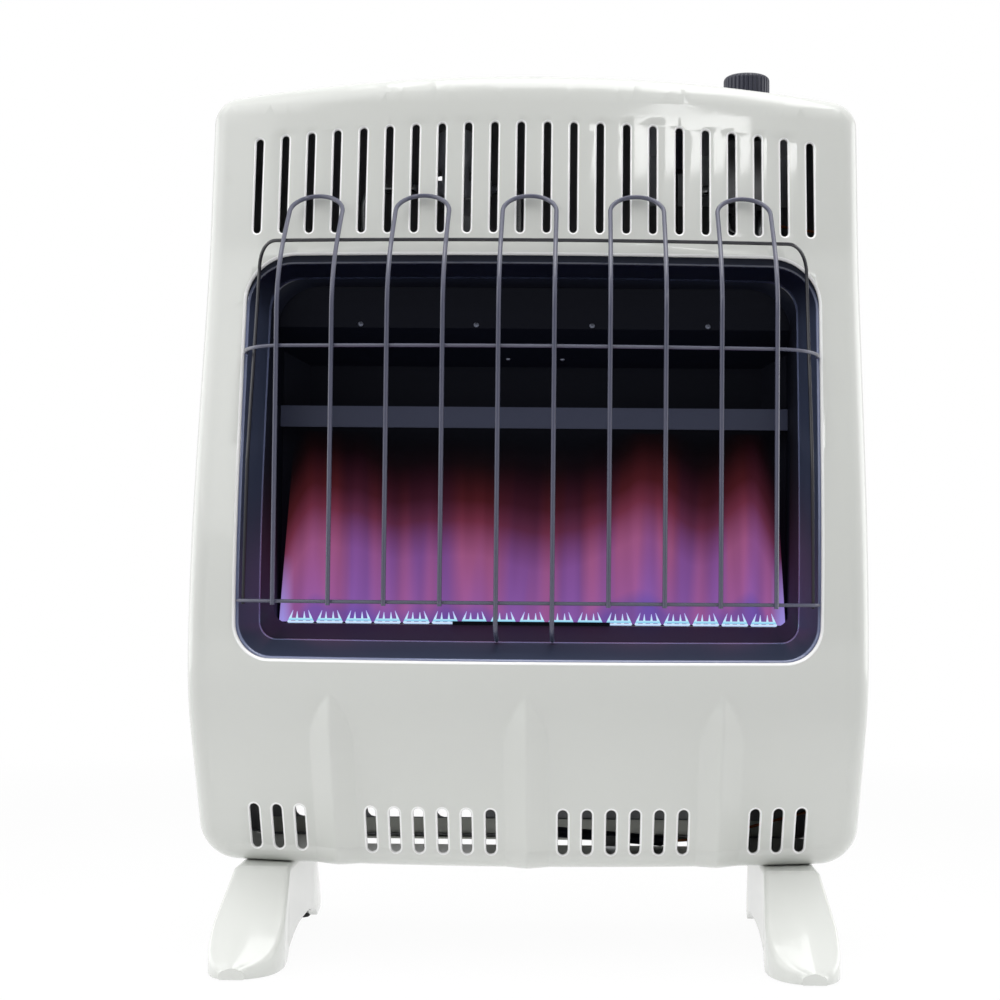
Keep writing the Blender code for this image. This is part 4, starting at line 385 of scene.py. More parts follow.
def draw_on(bm, edges, roots, move, step):
    """Extrudes rim edges once; move places each new point from its root. Returns the new rim."""
    drawn = bmesh.ops.extrude_edge_only(bm, edges=edges)["geom"]
    grown = {}
    for v in [g for g in drawn if isinstance(g, bmesh.types.BMVert)]:
        root = next(e.other_vert(v) for e in v.link_edges if e.other_vert(v) in roots)
        grown[v] = roots[root]
        v.co = move(step, *roots[root])
    rim = [g for g in drawn if isinstance(g, bmesh.types.BMEdge) and g.is_boundary]
    return rim, grown


def roll_in(step, start, direction, roll):
    """A rim point rolled into its opening by a turn in degrees, then sunk straight by a lip."""
    turn, lip = math.radians(step[0]), step[1]
    aside = direction * roll * math.sin(turn)
    return Vector((start.x + aside.x, start.y + roll * (1 - math.cos(turn)) + lip, start.z + aside.y))


def draw_back(step, foot, direction, depth):
    """An edge point turned back in degrees, then drawn a share of the way to the wall."""
    turn, share = math.radians(step[0]), step[1]
    across = foot + direction * EDGE * math.sin(turn)
    start = y_at(depth) + EDGE * (1 - math.cos(turn))
    return Vector((across.x, start + (WALL_Y - start) * share, across.y))


def pressed_sheet():
    """The blank pressed to its form, with its openings rolled in and its edge drawn back."""
    bm = flat_blank()
    rim, holes = [], []
    for edge in [e for e in bm.edges if e.is_boundary]:
        far = max(outward(v.co.x, v.co.z)[1] for v in edge.verts)
        (rim if far < EDGE * 0.4 else holes).append(edge)
    outer, inner = {}, {}
    for edge in rim:
        for v in edge.verts:
            direction, left = outward(v.co.x, v.co.z)
            foot = Vector((v.co.x, v.co.z)) - direction * (EDGE - left)
            outer[v] = (foot, direction, front_depth(foot.x, foot.y))
    for v in bm.verts:
        direction, left = outward(v.co.x, v.co.z)
        beyond = max(0.0, EDGE - left)
        foot = Vector((v.co.x, v.co.z)) - direction * beyond
        v.co.y = y_at(front_depth(foot.x, foot.y)) + EDGE - math.sqrt(EDGE**2 - beyond**2)
    for edge in holes:
        for v in edge.verts:
            inner[v] = (v.co.copy(), *into_opening(v.co.x, v.co.z))
    pressed = len(bm.faces)
    for step in [(18 * k, 0.0) for k in range(1, 6)] + [(90, ROLL_LIP)]:
        holes, inner = draw_on(bm, holes, inner, roll_in, step)
    bm.faces.ensure_lookup_table()
    # The rolled faces take the second material, the painted highlight
    for face in bm.faces[pressed:]:
        face.material_index = 1
    steps = [(turn, 0.0) for turn in (53, 61, 69, 77, 84, 90)]
    for step in steps + [(90, share) for share in (0.30, 0.65, 1.0)]:
        rim, outer = draw_on(bm, rim, outer, draw_back, step)
    return bm


FLOOR_OPENING_HALF_WIDTH = 0.150
FLOOR_OPENING_DEPTH = 0.048


def cut_floor(bm):
    """The opening in the casing's floor, along the wall."""
    half, front = FLOOR_OPENING_HALF_WIDTH, y_at(FLOOR_OPENING_DEPTH)
    low = FLOOR_CLEARANCE + 0.0005
    cut_across(bm, low, (-half, 0, 0), (1, 0, 0))
    cut_across(bm, low, (half, 0, 0), (1, 0, 0))
    cut_across(bm, low, (0, front, 0), (0, 1, 0))
    gone = []
    for face in bm.faces:
        middle = face.calc_center_median()
        if middle.z < low and abs(middle.x) < half and middle.y > front:
            gone.append(face)
    bmesh.ops.delete(bm, geom=gone, context="FACES")


# Cream powder coat is a smooth gloss with a fine orange peel
cream = new_finish("cream_powder_coat", "#DADCD8", 0.30, Coat_Weight=0.6, Coat_Roughness=0.05)
roughen(cream, 0.0024, 0.000012)
# The rolled edges are painted white and glossier than the cream: a painted highlight for rims that catch
# the lamps
rim_painted_highlight = new_finish("rolled_edges_painted_highlight", "#FFFFFF", 0.16, Coat_Weight=1.0, Coat_Roughness=0.05)

bm = pressed_sheet()
cut_floor(bm)
bmesh.ops.recalc_face_normals(bm, faces=bm.faces)
cover = new_piece("pressed_cover", bm, cream, 60)
cover.data.materials.append(rim_painted_highlight)
wall = cover.modifiers.new("sheet", "SOLIDIFY")
wall.thickness = SHEET
wall.offset = -1.0
apply_modifiers(cover)

CONTROL_Y = y_at(0.065)
KNOB_X = 0.158
IGNITER_X = 0.105
drills = []
for name, x, radius in (("knob_hole", KNOB_X, 0.01875), ("igniter_hole", IGNITER_X, 0.0105)):
    bm = bmesh.new()
    add_cone(bm, 48, radius, radius, 0.06, Matrix.Translation((x, CONTROL_Y, TOP_Z)))
    drills.append(new_piece(name, bm, cream))
cut_away(cover, drills)
finish_piece(cover, replaced=["front_cover"])

# Rear panel and its rail
# A shallow pan of primed steel that carries everything, with air openings, keyholes for the wall
# screws and cooling slots. The rail under it is folded sheet, and its lower lip shows behind the
# intake slots.


def merged_mesh(name):
    """A CAD node's mesh with its loose triangles merged."""
    bm = bmesh.new()
    bm.from_mesh(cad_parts[name].data)
    bmesh.ops.remove_doubles(bm, verts=bm.verts, dist=0.00001)
    return bm


def welded_copy(name, finish, body="heater", sharp=35.0):
    """A CAD node's solid, merged and shaded round where it is round."""
    piece = new_piece(name + "_finished", merged_mesh(name), finish, sharp)
    return finish_piece(piece, body, [name])


def dress(finish, *names):
    """A carried-over CAD node keeps its shape and takes its finish."""
    for name in names:
        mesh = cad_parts[name].data
        mesh.materials.clear()
        mesh.materials.append(finish)


# Grey primer is matt, with a faint spray grain
primer = new_finish("grey_primer", "#85868A", 0.55)
roughen(primer, 0.0012, 0.00002)
dress(primer, "rear_panel")

RAIL_LIP = 0.0034
# The rail's paint is a plain, even grey
grey_rail = new_finish("plain_grey_rail_paint", "#B4B6B0", 0.5)
bm = merged_mesh("rear_rail")
levels = [v.co.z for v in bm.verts]
for v in bm.verts:
    if v.co.z < (min(levels) + max(levels)) / 2:
        v.co.z -= RAIL_LIP
finish_piece(new_piece("rear_rail_with_lip", bm, grey_rail), replaced=["rear_rail"])

# Window bezel
# A drawn steel frame behind the window: a flange under the cover, a band that follows the window,
# a bend line, and walls that run back to the firebox. It is baked in dark enamel.

BEZEL_SHEET = 0.0010
FLANGE_WIDTH = 0.008
BAND_START = 0.004
BAND_WIDTH = 0.012
BAND_DEPTH = 0.030
BEND_SHARE = 11 / 12
BEND_ROUND = 0.0014
MOUTH_DEPTH = 0.098
MOUTH_SIZE = (0.188, 0.2314, 0.4785, 0.032, 0.012)


def oblong_ring(half, low, high, top_corner, bottom_corner):
    """A rounded oblong with the same number of points whatever its size."""
    steps, sides = 12, 16
    x = half - top_corner
    foot = half - bottom_corner
    rise = high - top_corner - low - bottom_corner
    right = [(half, low + bottom_corner + rise * k / sides) for k in range(1, sides)]
    corner = arc_points(x, high - top_corner, top_corner, 0, math.pi / 2, steps)
    over = [(x - 2 * x * k / sides, high) for k in range(1, sides)]
    left = [(-a, b) for a, b in reversed(right + corner)]
    turn = arc_points(-foot, low + bottom_corner, bottom_corner, math.pi, 1.5 * math.pi, steps)
    under = [(-foot + 2 * foot * k / sides, low) for k in range(1, sides)]
    return right + corner + over + left + turn + under + [(-a, b) for a, b in reversed(turn)]


def spread_ring(size, depth_at):
    """A ring round the window that widens as the window does, at the depth of each place."""
    ring = [(x * window_spread(z), z) for x, z in oblong_ring(*size)]
    return [(x, y_at(depth_at(x, z)), z) for x, z in ring]


def band_depth(x, z):
    """Depth of the band's outer edge, just behind the cover's face."""
    return plain_depth(x, z) - BAND_START


def bezel_rings():
    """The flange's edge, the band's outer edge, the bend line and the mouth at the firebox."""
    half, low, high, top_corner, bottom_corner = window_size(0.0)
    flange = spread_ring(window_size(FLANGE_WIDTH), lambda x, z: plain_depth(x, z) - SHEET - 0.0009)
    band_size = (half - 0.0012, low + 0.001, high - 0.0060, top_corner - 0.003, bottom_corner)
    band = spread_ring(band_size, band_depth)
    bend = spread_ring(
        window_size(-BAND_WIDTH),
        lambda x, z: max(band_depth(x, z) - BAND_DEPTH * BEND_SHARE, MOUTH_DEPTH + 0.004),
    )
    mouth = [(x, y_at(MOUTH_DEPTH), z) for x, z in oblong_ring(*MOUTH_SIZE)]
    return [flange, band, bend, mouth]


def rescale(tree, value, start, end, low=0.0, high=1.0, **settings):
    """A value that goes from start to end, made to go from low to high and held there beyond."""
    spans = {"Value": value, "From Min": start, "From Max": end, "To Min": low, "To Max": high}
    return add_node(tree, "MapRange", spans, **settings)


def shade_above_hood_line(finish, unshaded_colour, shaded_colour):
    """Darkens a finish above the hood line, as painted shade where the bezel's top faces down, away from
    the lamps.
    """
    tree = finish.node_tree
    place = add_node(tree, "TexCoord")
    axes = add_node(tree, "SeparateXYZ", {"Vector": place.outputs["Object"]})
    high = rescale(tree, axes.outputs["Z"], 0.452, 0.478)
    mix = add_node(tree, "MixRGB", {"Fac": high, "Color1": linear(unshaded_colour), "Color2": linear(shaded_colour)})
    drive(finish, "Base Color", mix)


# Baked enamel has a soft sheen and an even, nearly black blue
ENAMEL = "#343B50"
BEND_HIGHLIGHT = "#717A9C"
enamel = new_finish("black_enamel", ENAMEL, 0.34, Coat_Weight=0.5, Coat_Roughness=0.12)
roughen(enamel, 0.0030, 0.000010)
# Above the hood line the enamel is painted darker: painted shade on the bezel's top band
shade_above_hood_line(enamel, ENAMEL, "#0E1226")
# The flange and the walls behind the bend are painted near black and matt, as painted shade in the gap
# behind the cover and down the throat, and the bends are painted pale as a painted highlight
bezel_throat_painted_shade = new_finish("throat_enamel_painted_shade", "#161A28", 0.6, Specular_IOR_Level=0.2)
# Pale glossy enamel on the bends is a painted highlight along the bend lines
bend_painted_highlight = new_finish("enamel_bends_painted_highlight", BEND_HIGHLIGHT, 0.22, Coat_Weight=0.8, Coat_Roughness=0.06)
# The bends are painted darker above the hood line too, as painted shade
shade_above_hood_line(bend_painted_highlight, BEND_HIGHLIGHT, "#2A3046")

bm = bmesh.new()
rings = [closed_ring(bm, places)[1] for places in bezel_rings()]
# The flange and the throat take the painted shade, the band between them the enamel
for paint, first, second in zip((1, 0, 1), rings, rings[1:]):
    for face in bmesh.ops.bridge_loops(bm, edges=first + second)["faces"]:
        face.material_index = paint
# The bevel gives each bend the painted highlight
bmesh.ops.bevel(
    bm,
    geom=rings[1] + rings[2],
    offset=BEND_ROUND,
    segments=4,
    profile=0.5,
    affect="EDGES",
    material=2,
)
bmesh.ops.recalc_face_normals(bm, faces=bm.faces)
bezel = new_piece("drawn_bezel", bm, enamel, 60)
bezel.data.materials.append(bezel_throat_painted_shade)
bezel.data.materials.append(bend_painted_highlight)
wall = bezel.modifiers.new("sheet", "SOLIDIFY")
wall.thickness = BEZEL_SHEET
wall.offset = 1.0 if bezel.data.polygons[0].normal.y > 0 else -1.0
finish_piece(bezel, replaced=["window_bezel"])

# Firebox, its brackets and the deflector bar
# A folded steel box with a slanted hood and chamfered rear corners, held by two zinc plated
# brackets. Screws hold the hood and the deflector bar that crosses it.

# Heat resisting paint is dead black and swallows nearly all light
soot = new_finish("heat_resisting_black", "#0B0E1A", 0.60, Specular_IOR_Level=0.12)
roughen(soot, 0.0020, 0.00002)
dress(soot, "firebox_shell")
# The bar's paint is a lighter blue-grey than the box behind it
bar_paint = new_finish("lighter_blue_grey_bar_paint", "#3C4158", 0.40)
roughen(bar_paint, 0.0020, 0.00002)
dress(bar_paint, "deflector_bar")
# Zinc plate is a bright, slightly grey metal with soft reflections
zinc = new_finish("zinc_plated_steel", "#B9BCC0", 0.34, Metallic=1.0)
roughen(zinc, 0.0016, 0.00001)
dress(zinc, "left_firebox_bracket", "right_firebox_bracket")


def loft(bm, sections):
    """A skin over a row of rings, closed by a cap on its first and its last ring."""
    rings = []
    for places in sections:
        points, edges = closed_ring(bm, places)
        rings.append(edges)
        if len(rings) in (1, len(sections)):
            bm.faces.new(points)
    for first, second in zip(rings, rings[1:]):
        bmesh.ops.bridge_loops(bm, edges=first + second)
    bmesh.ops.recalc_face_normals(bm, faces=bm.faces)


# A screw head as rings of (height over the sheet, radius), each with this many points
SCREW_HEAD = ((-0.001, 0.0022), (0.0006, 0.0022), (0.0011, 0.0018), (0.0014, 0.0009))
SCREW_POINTS = 20

# Heat has blued the screws, so they are darker than zinc plate
screw_steel = new_finish("blued_screw_steel", "#6A6E7C", 0.35, Metallic=0.9)
hood_places = [(x, 0.0879, 0.4525) for x in (-0.1284, -0.0428, 0.0428, 0.1284)]
bar_places = [(x, 0.0505, 0.4325) for x in (-0.0206, 0.0206)]
turns = [math.tau * k / SCREW_POINTS for k in range(SCREW_POINTS)]
bm = bmesh.new()
for x, depth, z in hood_places + bar_places:
    heads = []
    for out, radius in SCREW_HEAD:
        y = y_at(depth + out)
        heads.append([(x + radius * math.cos(a), y, z + radius * math.sin(a)) for a in turns])
    loft(bm, heads)
screws = new_piece("hood_screws", bm, screw_steel)
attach(screws, "heater")

# Burner, its feet, mixer tube and injector
# A folded tube of aluminised steel with rows of ports along its top, fed through a mixer tube of
# the same steel. A turned brass injector blows the gas into the mixer's mouth.

# Aluminised steel has a dull silver face with a faint mottle, browned by heat
aluminised = new_finish("aluminised_steel", "#8D8A86", 0.5, Metallic=1.0)
roughen(aluminised, 0.0030, 0.00002)
dress(aluminised, "burner_tube")
welded_copy("mixer_tube", aluminised)
dress(zinc, "left_burner_foot", "right_burner_foot", "injector_bracket")
# Turned brass is a warm yellow metal, bright and clean from the tool
brass = new_finish("turned_brass", "#C9A35A", 0.28, Metallic=1.0)
welded_copy("injector", brass)

# Pilot
# A brass pilot tube, an electrode in a ceramic sleeve and a copper thermocouple stand on a zinc
# plated bracket in front of the burner, behind a black shield plate.

dress(soot, "pilot_shield")
dress(zinc, "pilot_bracket")
welded_copy("pilot_burner", brass)
# Glazed ceramic is a warm white with a clear shine
ceramic = new_finish("white_ceramic", "#E9E4D8", 0.3)
welded_copy("pilot_electrode", ceramic)
# Drawn copper is a reddish metal with a smooth skin
copper = new_finish("drawn_copper", "#B87350", 0.3, Metallic=1.0)
welded_copy("thermocouple", copper)
welded_copy("thermocouple_lead", copper)

# Flames
# Burning gas, not a solid: a row of short blue teeth over each group of ports, under a thin violet
# curtain that reddens and thins out upwards. It gives light and lets what is behind it show.

PORT_TOP = 0.2312
PORT_GROUP_PITCH = 0.0215
FLAME_Y = y_at(0.073)
TOOTH_HEIGHT = 0.0094
CURTAIN_FOOT = 0.232
CURTAIN_HEIGHT = 0.142
CURTAIN_WIDTH = 0.376


def colour_steps(tree, value, spots, colours):
    """Colours blended from 0 to 1, with the inner ones at the given spots."""
    ramp = add_node(tree, "ValToRGB", {"Fac": value})
    for end in (0, -1):
        ramp.color_ramp.elements[end].color = colours[end]
    for spot, colour in zip(spots, colours[1:-1]):
        ramp.color_ramp.elements.new(spot).color = colour
    return ramp


# The teeth only glow: nearly white over the ports, blue above, and violet at their tips
teeth_glow = new_finish(
    "blue_flame_teeth", "#000000", 1.0, Specular_IOR_Level=0.0, Emission_Strength=1.0
)
tree = teeth_glow.node_tree
place = add_node(tree, "TexCoord")
axes = add_node(tree, "SeparateXYZ", {"Vector": place.outputs["Object"]})
height = rescale(tree, axes.outputs["Z"], PORT_TOP, PORT_TOP + 0.011)
blues = [linear(c) for c in ("#B8D4FF", "#D8ECFF", "#86CDEE", "#C4EEFF", "#C8D2FF", "#8F7CE8")]
drive(teeth_glow, "Emission Color", colour_steps(tree, height, (0.10, 0.20, 0.34, 0.62), blues))

# Each group has four teeth of (foot, tip, share of the height), over two glowing bars of
# (height, radius) that lie along the ports
TEETH = ((-0.0088, -0.0056, 1.0), (-0.0028, -0.0026, 0.9), (0.0028, 0.0026, 0.9), (0.0088, 0.0056, 1.0))
GLOW_BARS = ((0.0, 0.0007), (0.0020, 0.0009))
bm = bmesh.new()
for group in range(17):
    middle = (group - 8) * PORT_GROUP_PITCH
    for foot_x, tip_x, share in TEETH:
        foot = Vector((middle + foot_x, FLAME_Y, PORT_TOP + 0.0002))
        tip = Vector((middle + tip_x, FLAME_Y, PORT_TOP + TOOTH_HEIGHT * share))
        along = tip - foot
        turn = along.to_track_quat("Z", "Y").to_matrix().to_4x4()
        add_cone(bm, 10, 0.00125, 0.0002, along.length, Matrix.Translation((foot + tip) / 2) @ turn)
    for lift, radius in GLOW_BARS:
        lying = Matrix.Translation((middle, FLAME_Y, PORT_TOP + 0.0006 + lift))
        lying = lying @ Matrix.Rotation(math.pi / 2, 4, "Y")
        add_cone(bm, 12, radius, radius, 0.0186 - lift, lying)
teeth = new_piece("flame_teeth", bm, teeth_glow)
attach(teeth, "heater")

# The curtain glows and is half clear: tall soft tongues and finer streaks, drawn out upwards
curtain_glow = new_finish("violet_flame_curtain", "#000000", 1.0, Specular_IOR_Level=0.0)
tree = curtain_glow.node_tree
place = add_node(tree, "TexCoord")
axes = add_node(tree, "SeparateXYZ", {"Vector": place.outputs["Object"]})
drawn = add_node(tree, "Mapping", {"Vector": place.outputs["Object"], "Scale": (1.0, 1.0, 0.08)})
tongues, streaks, strands = [
    add_node(tree, "TexNoise", {"Vector": drawn, "Scale": 1 / size, "Detail": 0.0})
    for size in (0.048, 0.020, 0.008)
]
lift = add_node(tree, "Math", {0: tongues, 1: -0.050, 2: 0.025}, operation="MULTIPLY_ADD")
# The tips rise and fall by 10 mm, once in about 115 mm, and fall away at both ends
phase = add_node(tree, "Math", {0: axes.outputs["X"], 1: 54.6, 2: 4.25}, operation="MULTIPLY_ADD")
wave = add_node(tree, "Math", {0: phase}, operation="SINE")
sway = add_node(tree, "Math", {0: wave, 1: -0.010, 2: lift}, operation="MULTIPLY_ADD")
side = add_node(tree, "Math", {0: axes.outputs["X"]}, operation="ABSOLUTE")
shoulder = rescale(tree, side, 0.160, 0.190, high=0.034, interpolation_type="SMOOTHSTEP")
fall = add_node(tree, "Math", {0: sway, 1: shoulder}, operation="ADD")
shifted = add_node(tree, "Math", {0: axes.outputs["Z"], 1: fall}, operation="ADD")
height = rescale(tree, shifted, CURTAIN_FOOT, CURTAIN_FOOT + 0.140)
share = rescale(tree, streaks, 0.38, 0.62)
grain = rescale(tree, strands, 0.3, 0.7, 0.92, 1.08)
tints = []
for codes in (
    ("#6E52A8", "#8658A4", "#7E4E90", "#5A2A44", "#3C1826", "#17060A", "#050102"),
    ("#7C549E", "#9C5A96", "#985480", "#6C2E42", "#481A20", "#1E0A0A", "#080202"),
):
    spots = (0.08, 0.34, 0.54, 0.66, 0.86)
    tints.append(colour_steps(tree, height, spots, [linear(c) for c in codes]))
tint = add_node(tree, "MixRGB", {"Fac": share, "Color1": tints[0], "Color2": tints[1]})
# Both ends burn with more air, so they are bluer and brighter low down
outer = rescale(tree, side, 0.177, 0.185, high=0.8)
low = rescale(tree, axes.outputs["Z"], CURTAIN_FOOT, CURTAIN_FOOT + 0.050, 1.0, 0.0)
ends = add_node(tree, "Math", {0: outer, 1: low}, operation="MULTIPLY")
tint = add_node(tree, "MixRGB", {"Fac": ends, "Color1": tint, "Color2": linear("#A6A0F4")})
levels = [(level, level, level, 1.0) for level in (0.92, 0.92, 0.75, 0.0)]
thin = colour_steps(tree, height, (0.45, 0.70), levels)
drive(curtain_glow, "Emission Strength", grain)
drive(curtain_glow, "Emission Color", tint)
drive(curtain_glow, "Alpha", thin)

bm = bmesh.new()
bmesh.ops.create_grid(
    bm,
    x_segments=96,
    y_segments=24,
    size=0.5,
    matrix=Matrix.Translation((0, FLAME_Y, CURTAIN_FOOT + CURTAIN_HEIGHT / 2))
    @ Matrix.Rotation(math.pi / 2, 4, "X")
    @ Matrix.Diagonal((CURTAIN_WIDTH, CURTAIN_HEIGHT, 1, 1)),
)
for v in bm.verts:
    up = (v.co.z - CURTAIN_FOOT) / CURTAIN_HEIGHT
    v.co.y += 0.0025 * math.sin(v.co.x * math.tau / PORT_GROUP_PITCH) * up
    v.co.x *= 1 - 0.05 * up
curtain = new_piece("flame_curtain", bm, curtain_glow)
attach(curtain, "heater")

# Wire guard
# Five hairpins of 3.2 mm wire, welded to three cross wires of 2.5 mm, dipped in dark paint. The
# ends of the cross wires spring into the sides of the window.

LEG_PITCH = 0.0379
WIRE = 0.0016
THIN_WIRE = 0.00125
GAP = 0.0003
GUARD_FRONT = 0.2010
GUARD_BOW = 0.008
GUARD_FOOT = 0.2470
GUARD_BEND_Z = 0.448
GUARD_BEND = 0.055
HAIRPIN_TOP = 0.538
HAIRPIN_SHIFT = 0.0022
CROSS_HALF_WIDTH = 0.166
# The wires' centre lines stand this far off the casing or off the window's edge
LOOP_STAND_OFF = 0.0031
END_STAND_OFF = -0.0032
END_CLEARANCE = 0.0017


def round_wire(name, route, radius, finish, sides=12):
    """A round bar swept along its route, with closed ends, as a mesh."""
    curve = bpy.data.curves.new(name, "CURVE")
    curve.dimensions = "3D"
    curve.bevel_depth = radius
    curve.bevel_resolution = sides // 4 - 1
    curve.use_fill_caps = True
    spline = curve.splines.new("POLY")
    spline.points.add(len(route) - 1)
    for index, point in enumerate(route):
        spline.points[index].co = (*point, 1.0)
    swept = bpy.data.objects.new(name + "_line", curve)
    bpy.context.scene.collection.objects.link(swept)
    bpy.context.view_layer.update()
    graph = bpy.context.evaluated_depsgraph_get()
    bm = bmesh.new()
    bm.from_mesh(swept.evaluated_get(graph).to_mesh())
    bmesh.ops.remove_doubles(bm, verts=bm.verts, dist=0.000001)
    bpy.data.objects.remove(swept)
    return new_piece(name, bm, finish)


def guard_fall(z):
    """How far the hairpins have leaned back at a height, before it is scaled to the casing."""
    up = max(0.0, z - GUARD_BEND_Z)
    return up * up / (2 * GUARD_BEND) if up < GUARD_BEND else up - GUARD_BEND / 2


def guard_depth(x, z):
    """Centre line of the hairpins, upright below and leaning back over the top of the window."""
    front = GUARD_FRONT - GUARD_BOW * (x / CROSS_HALF_WIDTH) ** 2
    back = front - plain_depth(x, HAIRPIN_TOP) - LOOP_STAND_OFF
    return front - back * guard_fall(z) / guard_fall(HAIRPIN_TOP)


def behind_hairpins(x, z):
    """Centre line of a cross wire that lies against the hairpins from behind."""
    slope = (guard_depth(x, z) - guard_depth(x, z + GAP)) / GAP
    return guard_depth(x, z) - (WIRE + THIN_WIRE + GAP) * math.hypot(1, slope)


def rounded_route(corners, bend, steps):
    """A route through its corners, each turned with an arc."""
    corners = [Vector(c) for c in corners]
    route = [corners[0]]
    for before, corner, after in zip(corners, corners[1:], corners[2:]):
        back = (before - corner).normalized()
        on = (after - corner).normalized()
        half = back.angle(on) / 2
        reach = bend / math.tan(half)
        centre = corner + (back + on).normalized() * (bend / math.sin(half))
        first = (corner + back * reach - centre).normalized()
        last = (corner + on * reach - centre).normalized()
        route += [centre + first.slerp(last, k / steps) * bend for k in range(steps + 1)]
    return route + [corners[-1]]


def hairpin_route(middle, foot):
    """Up one leg from its foot, round the loop at the top, and down the other leg."""
    radius = LEG_PITCH / 2
    slope = math.sqrt(2)
    loop_z = HAIRPIN_TOP - radius / slope
    heights = [0.26 + 0.02 * k for k in range(9)] + [0.44 + 0.004 * k for k in range(21)]
    leg = [(middle - radius, z) for z in foot + heights if z < loop_z - 0.001]
    leg.append((middle - radius, loop_z))
    turn = []
    for k in range(1, 24):
        angle = math.pi - math.pi * k / 24
        turn.append((middle + radius * math.cos(angle), loop_z + radius * math.sin(angle) / slope))
    path = leg + turn + [(2 * middle - x, z) for x, z in reversed(leg)]
    return [Vector((x, y_at(guard_depth(x, z)), z)) for x, z in path]


def hooked_foot(x):
    """The middle hairpin's foot, which turns back and rests on the bezel's band."""
    depth = 0.178
    turn_z = 0.2300
    front = y_at(guard_depth(x, turn_z))
    share = (plain_depth(0, WINDOW_LOW) - BAND_START - depth) / BAND_DEPTH
    seat = WINDOW_LOW + 0.001 + share * BAND_WIDTH + (WIRE + GAP) * 1.12
    corners = [(x, y_at(depth), seat), (x, front, turn_z), (x, front, turn_z + 0.025)]
    return rounded_route(corners, 0.006, 8)


# Dipped paint is smooth and has a soft shine along each wire
wire_paint = new_finish("dipped_wire_paint", "#505266", 0.34, Coat_Weight=0.4, Coat_Roughness=0.12)
for index in range(5):
    middle = (index - 2) * LEG_PITCH * 2 - HAIRPIN_SHIFT
    route = hairpin_route(middle, [] if index == 2 else [GUARD_FOOT])
    if index == 2:
        hook = hooked_foot(middle - LEG_PITCH / 2)
        route = hook + route + [Vector((2 * middle - p.x, p.y, p.z)) for p in reversed(hook)]
    hairpin = round_wire(f"hairpin_{index + 1}", route, WIRE, wire_paint, 16)
    finish_piece(hairpin, replaced=[f"guard_hairpin_{index + 1}"])


def rail_reach(z):
    """How far out a cross wire springs into the side of the window."""
    return WINDOW_HALF_WIDTH * window_spread(z) - END_CLEARANCE


def rail_depth(x, z):
    """Depth of a cross wire where it turns back to the window's edge."""
    start = behind_hairpins(CROSS_HALF_WIDTH, z)
    end = plain_depth(rail_reach(z), z) + END_STAND_OFF
    share = min(1.0, (x - CROSS_HALF_WIDTH) / (rail_reach(z) - CROSS_HALF_WIDTH))
    return start + (end - start) * (1 - math.sqrt(1 - share**2))


for name, node, z in (
    ("middle_cross_wire", "guard_middle_rail", 0.4236),
    ("bottom_cross_wire", "guard_bottom_rail", 0.2495),
):
    side = []
    for k in range(1, 19):
        x = CROSS_HALF_WIDTH + (rail_reach(z) - CROSS_HALF_WIDTH) * math.sin(math.pi / 36 * k)
        side.append((x, rail_depth(x, z)))
    places = [k * CROSS_HALF_WIDTH / 12 for k in range(-12, 13)]
    across = [(x, behind_hairpins(x, z)) for x in places]
    path = [(-x, d) for x, d in reversed(side)] + across + side
    cross = round_wire(name, [(x, y_at(d), z) for x, d in path], THIN_WIRE, wire_paint)
    finish_piece(cross, replaced=[node])

FRAME_X = 0.1945
FRAME_TOP = 0.5005
FRAME_CORNER = 0.016
FRAME_STAND_OFF = 0.0060
FRAME_CORNER_X = FRAME_X - FRAME_CORNER
FRAME_CORNER_Z = FRAME_TOP - FRAME_CORNER


def frame_depth(z):
    """The upright side wires: in front of the casing, and behind the ends of the cross wires."""
    slope = (rail_depth(FRAME_X - THIN_WIRE, z) - rail_depth(FRAME_X + THIN_WIRE, z)) / (2 * THIN_WIRE)
    behind = rail_depth(FRAME_X, z) - (2 * THIN_WIRE + GAP) * math.hypot(1, slope)
    return min(plain_depth(FRAME_X, z) + FRAME_STAND_OFF, behind)


half = [(FRAME_X, frame_depth(z), z) for z in [GUARD_FOOT + 0.006 * k for k in range(40)]]
low, high = frame_depth(FRAME_CORNER_Z), behind_hairpins(FRAME_CORNER_X, FRAME_TOP)
for x, z in arc_points(FRAME_CORNER_X, FRAME_CORNER_Z, FRAME_CORNER, 0, math.pi / 2, 12):
    half.append((x, low + (high - low) * ((z - FRAME_CORNER_Z) / FRAME_CORNER) ** 2, z))
for x in [CROSS_HALF_WIDTH * k / 8 for k in range(8, -1, -1)]:
    half.append((x, behind_hairpins(x, FRAME_TOP), FRAME_TOP))
route = half + [(-x, d, z) for x, d, z in reversed(half[:-1])]
# The outer wire has the same dipped paint as the hairpins, painted darker as shade, since it is seen
# against the light
outer_wire_painted_shade = new_finish("dipped_wire_paint_painted_shade", "#12131E", 0.34, Coat_Weight=0.4, Coat_Roughness=0.12)
outer_wire = round_wire("guard_outer_wire", [(x, y_at(d), z) for x, d, z in route], THIN_WIRE, outer_wire_painted_shade)
finish_piece(outer_wire, replaced=["guard_frame"])

# Valve, control knob and igniter
# A die cast gas valve hangs from a zinc plated panel. Its stem carries a moulded black knob with
# fine flutes, and a push button igniter stands beside it.

# Die cast metal is a flat light grey with a fine grain from the mould
die_cast = new_finish("die_cast_zinc", "#A9AAAC", 0.42, Metallic=1.0)
roughen(die_cast, 0.0010, 0.00003)
welded_copy("gas_valve", die_cast, sharp=30)
welded_copy("valve_plug", brass, "valve_plug")
welded_copy("valve_stem", zinc, "knob")
welded_copy("valve_nut", zinc)
dress(zinc, "control_panel")
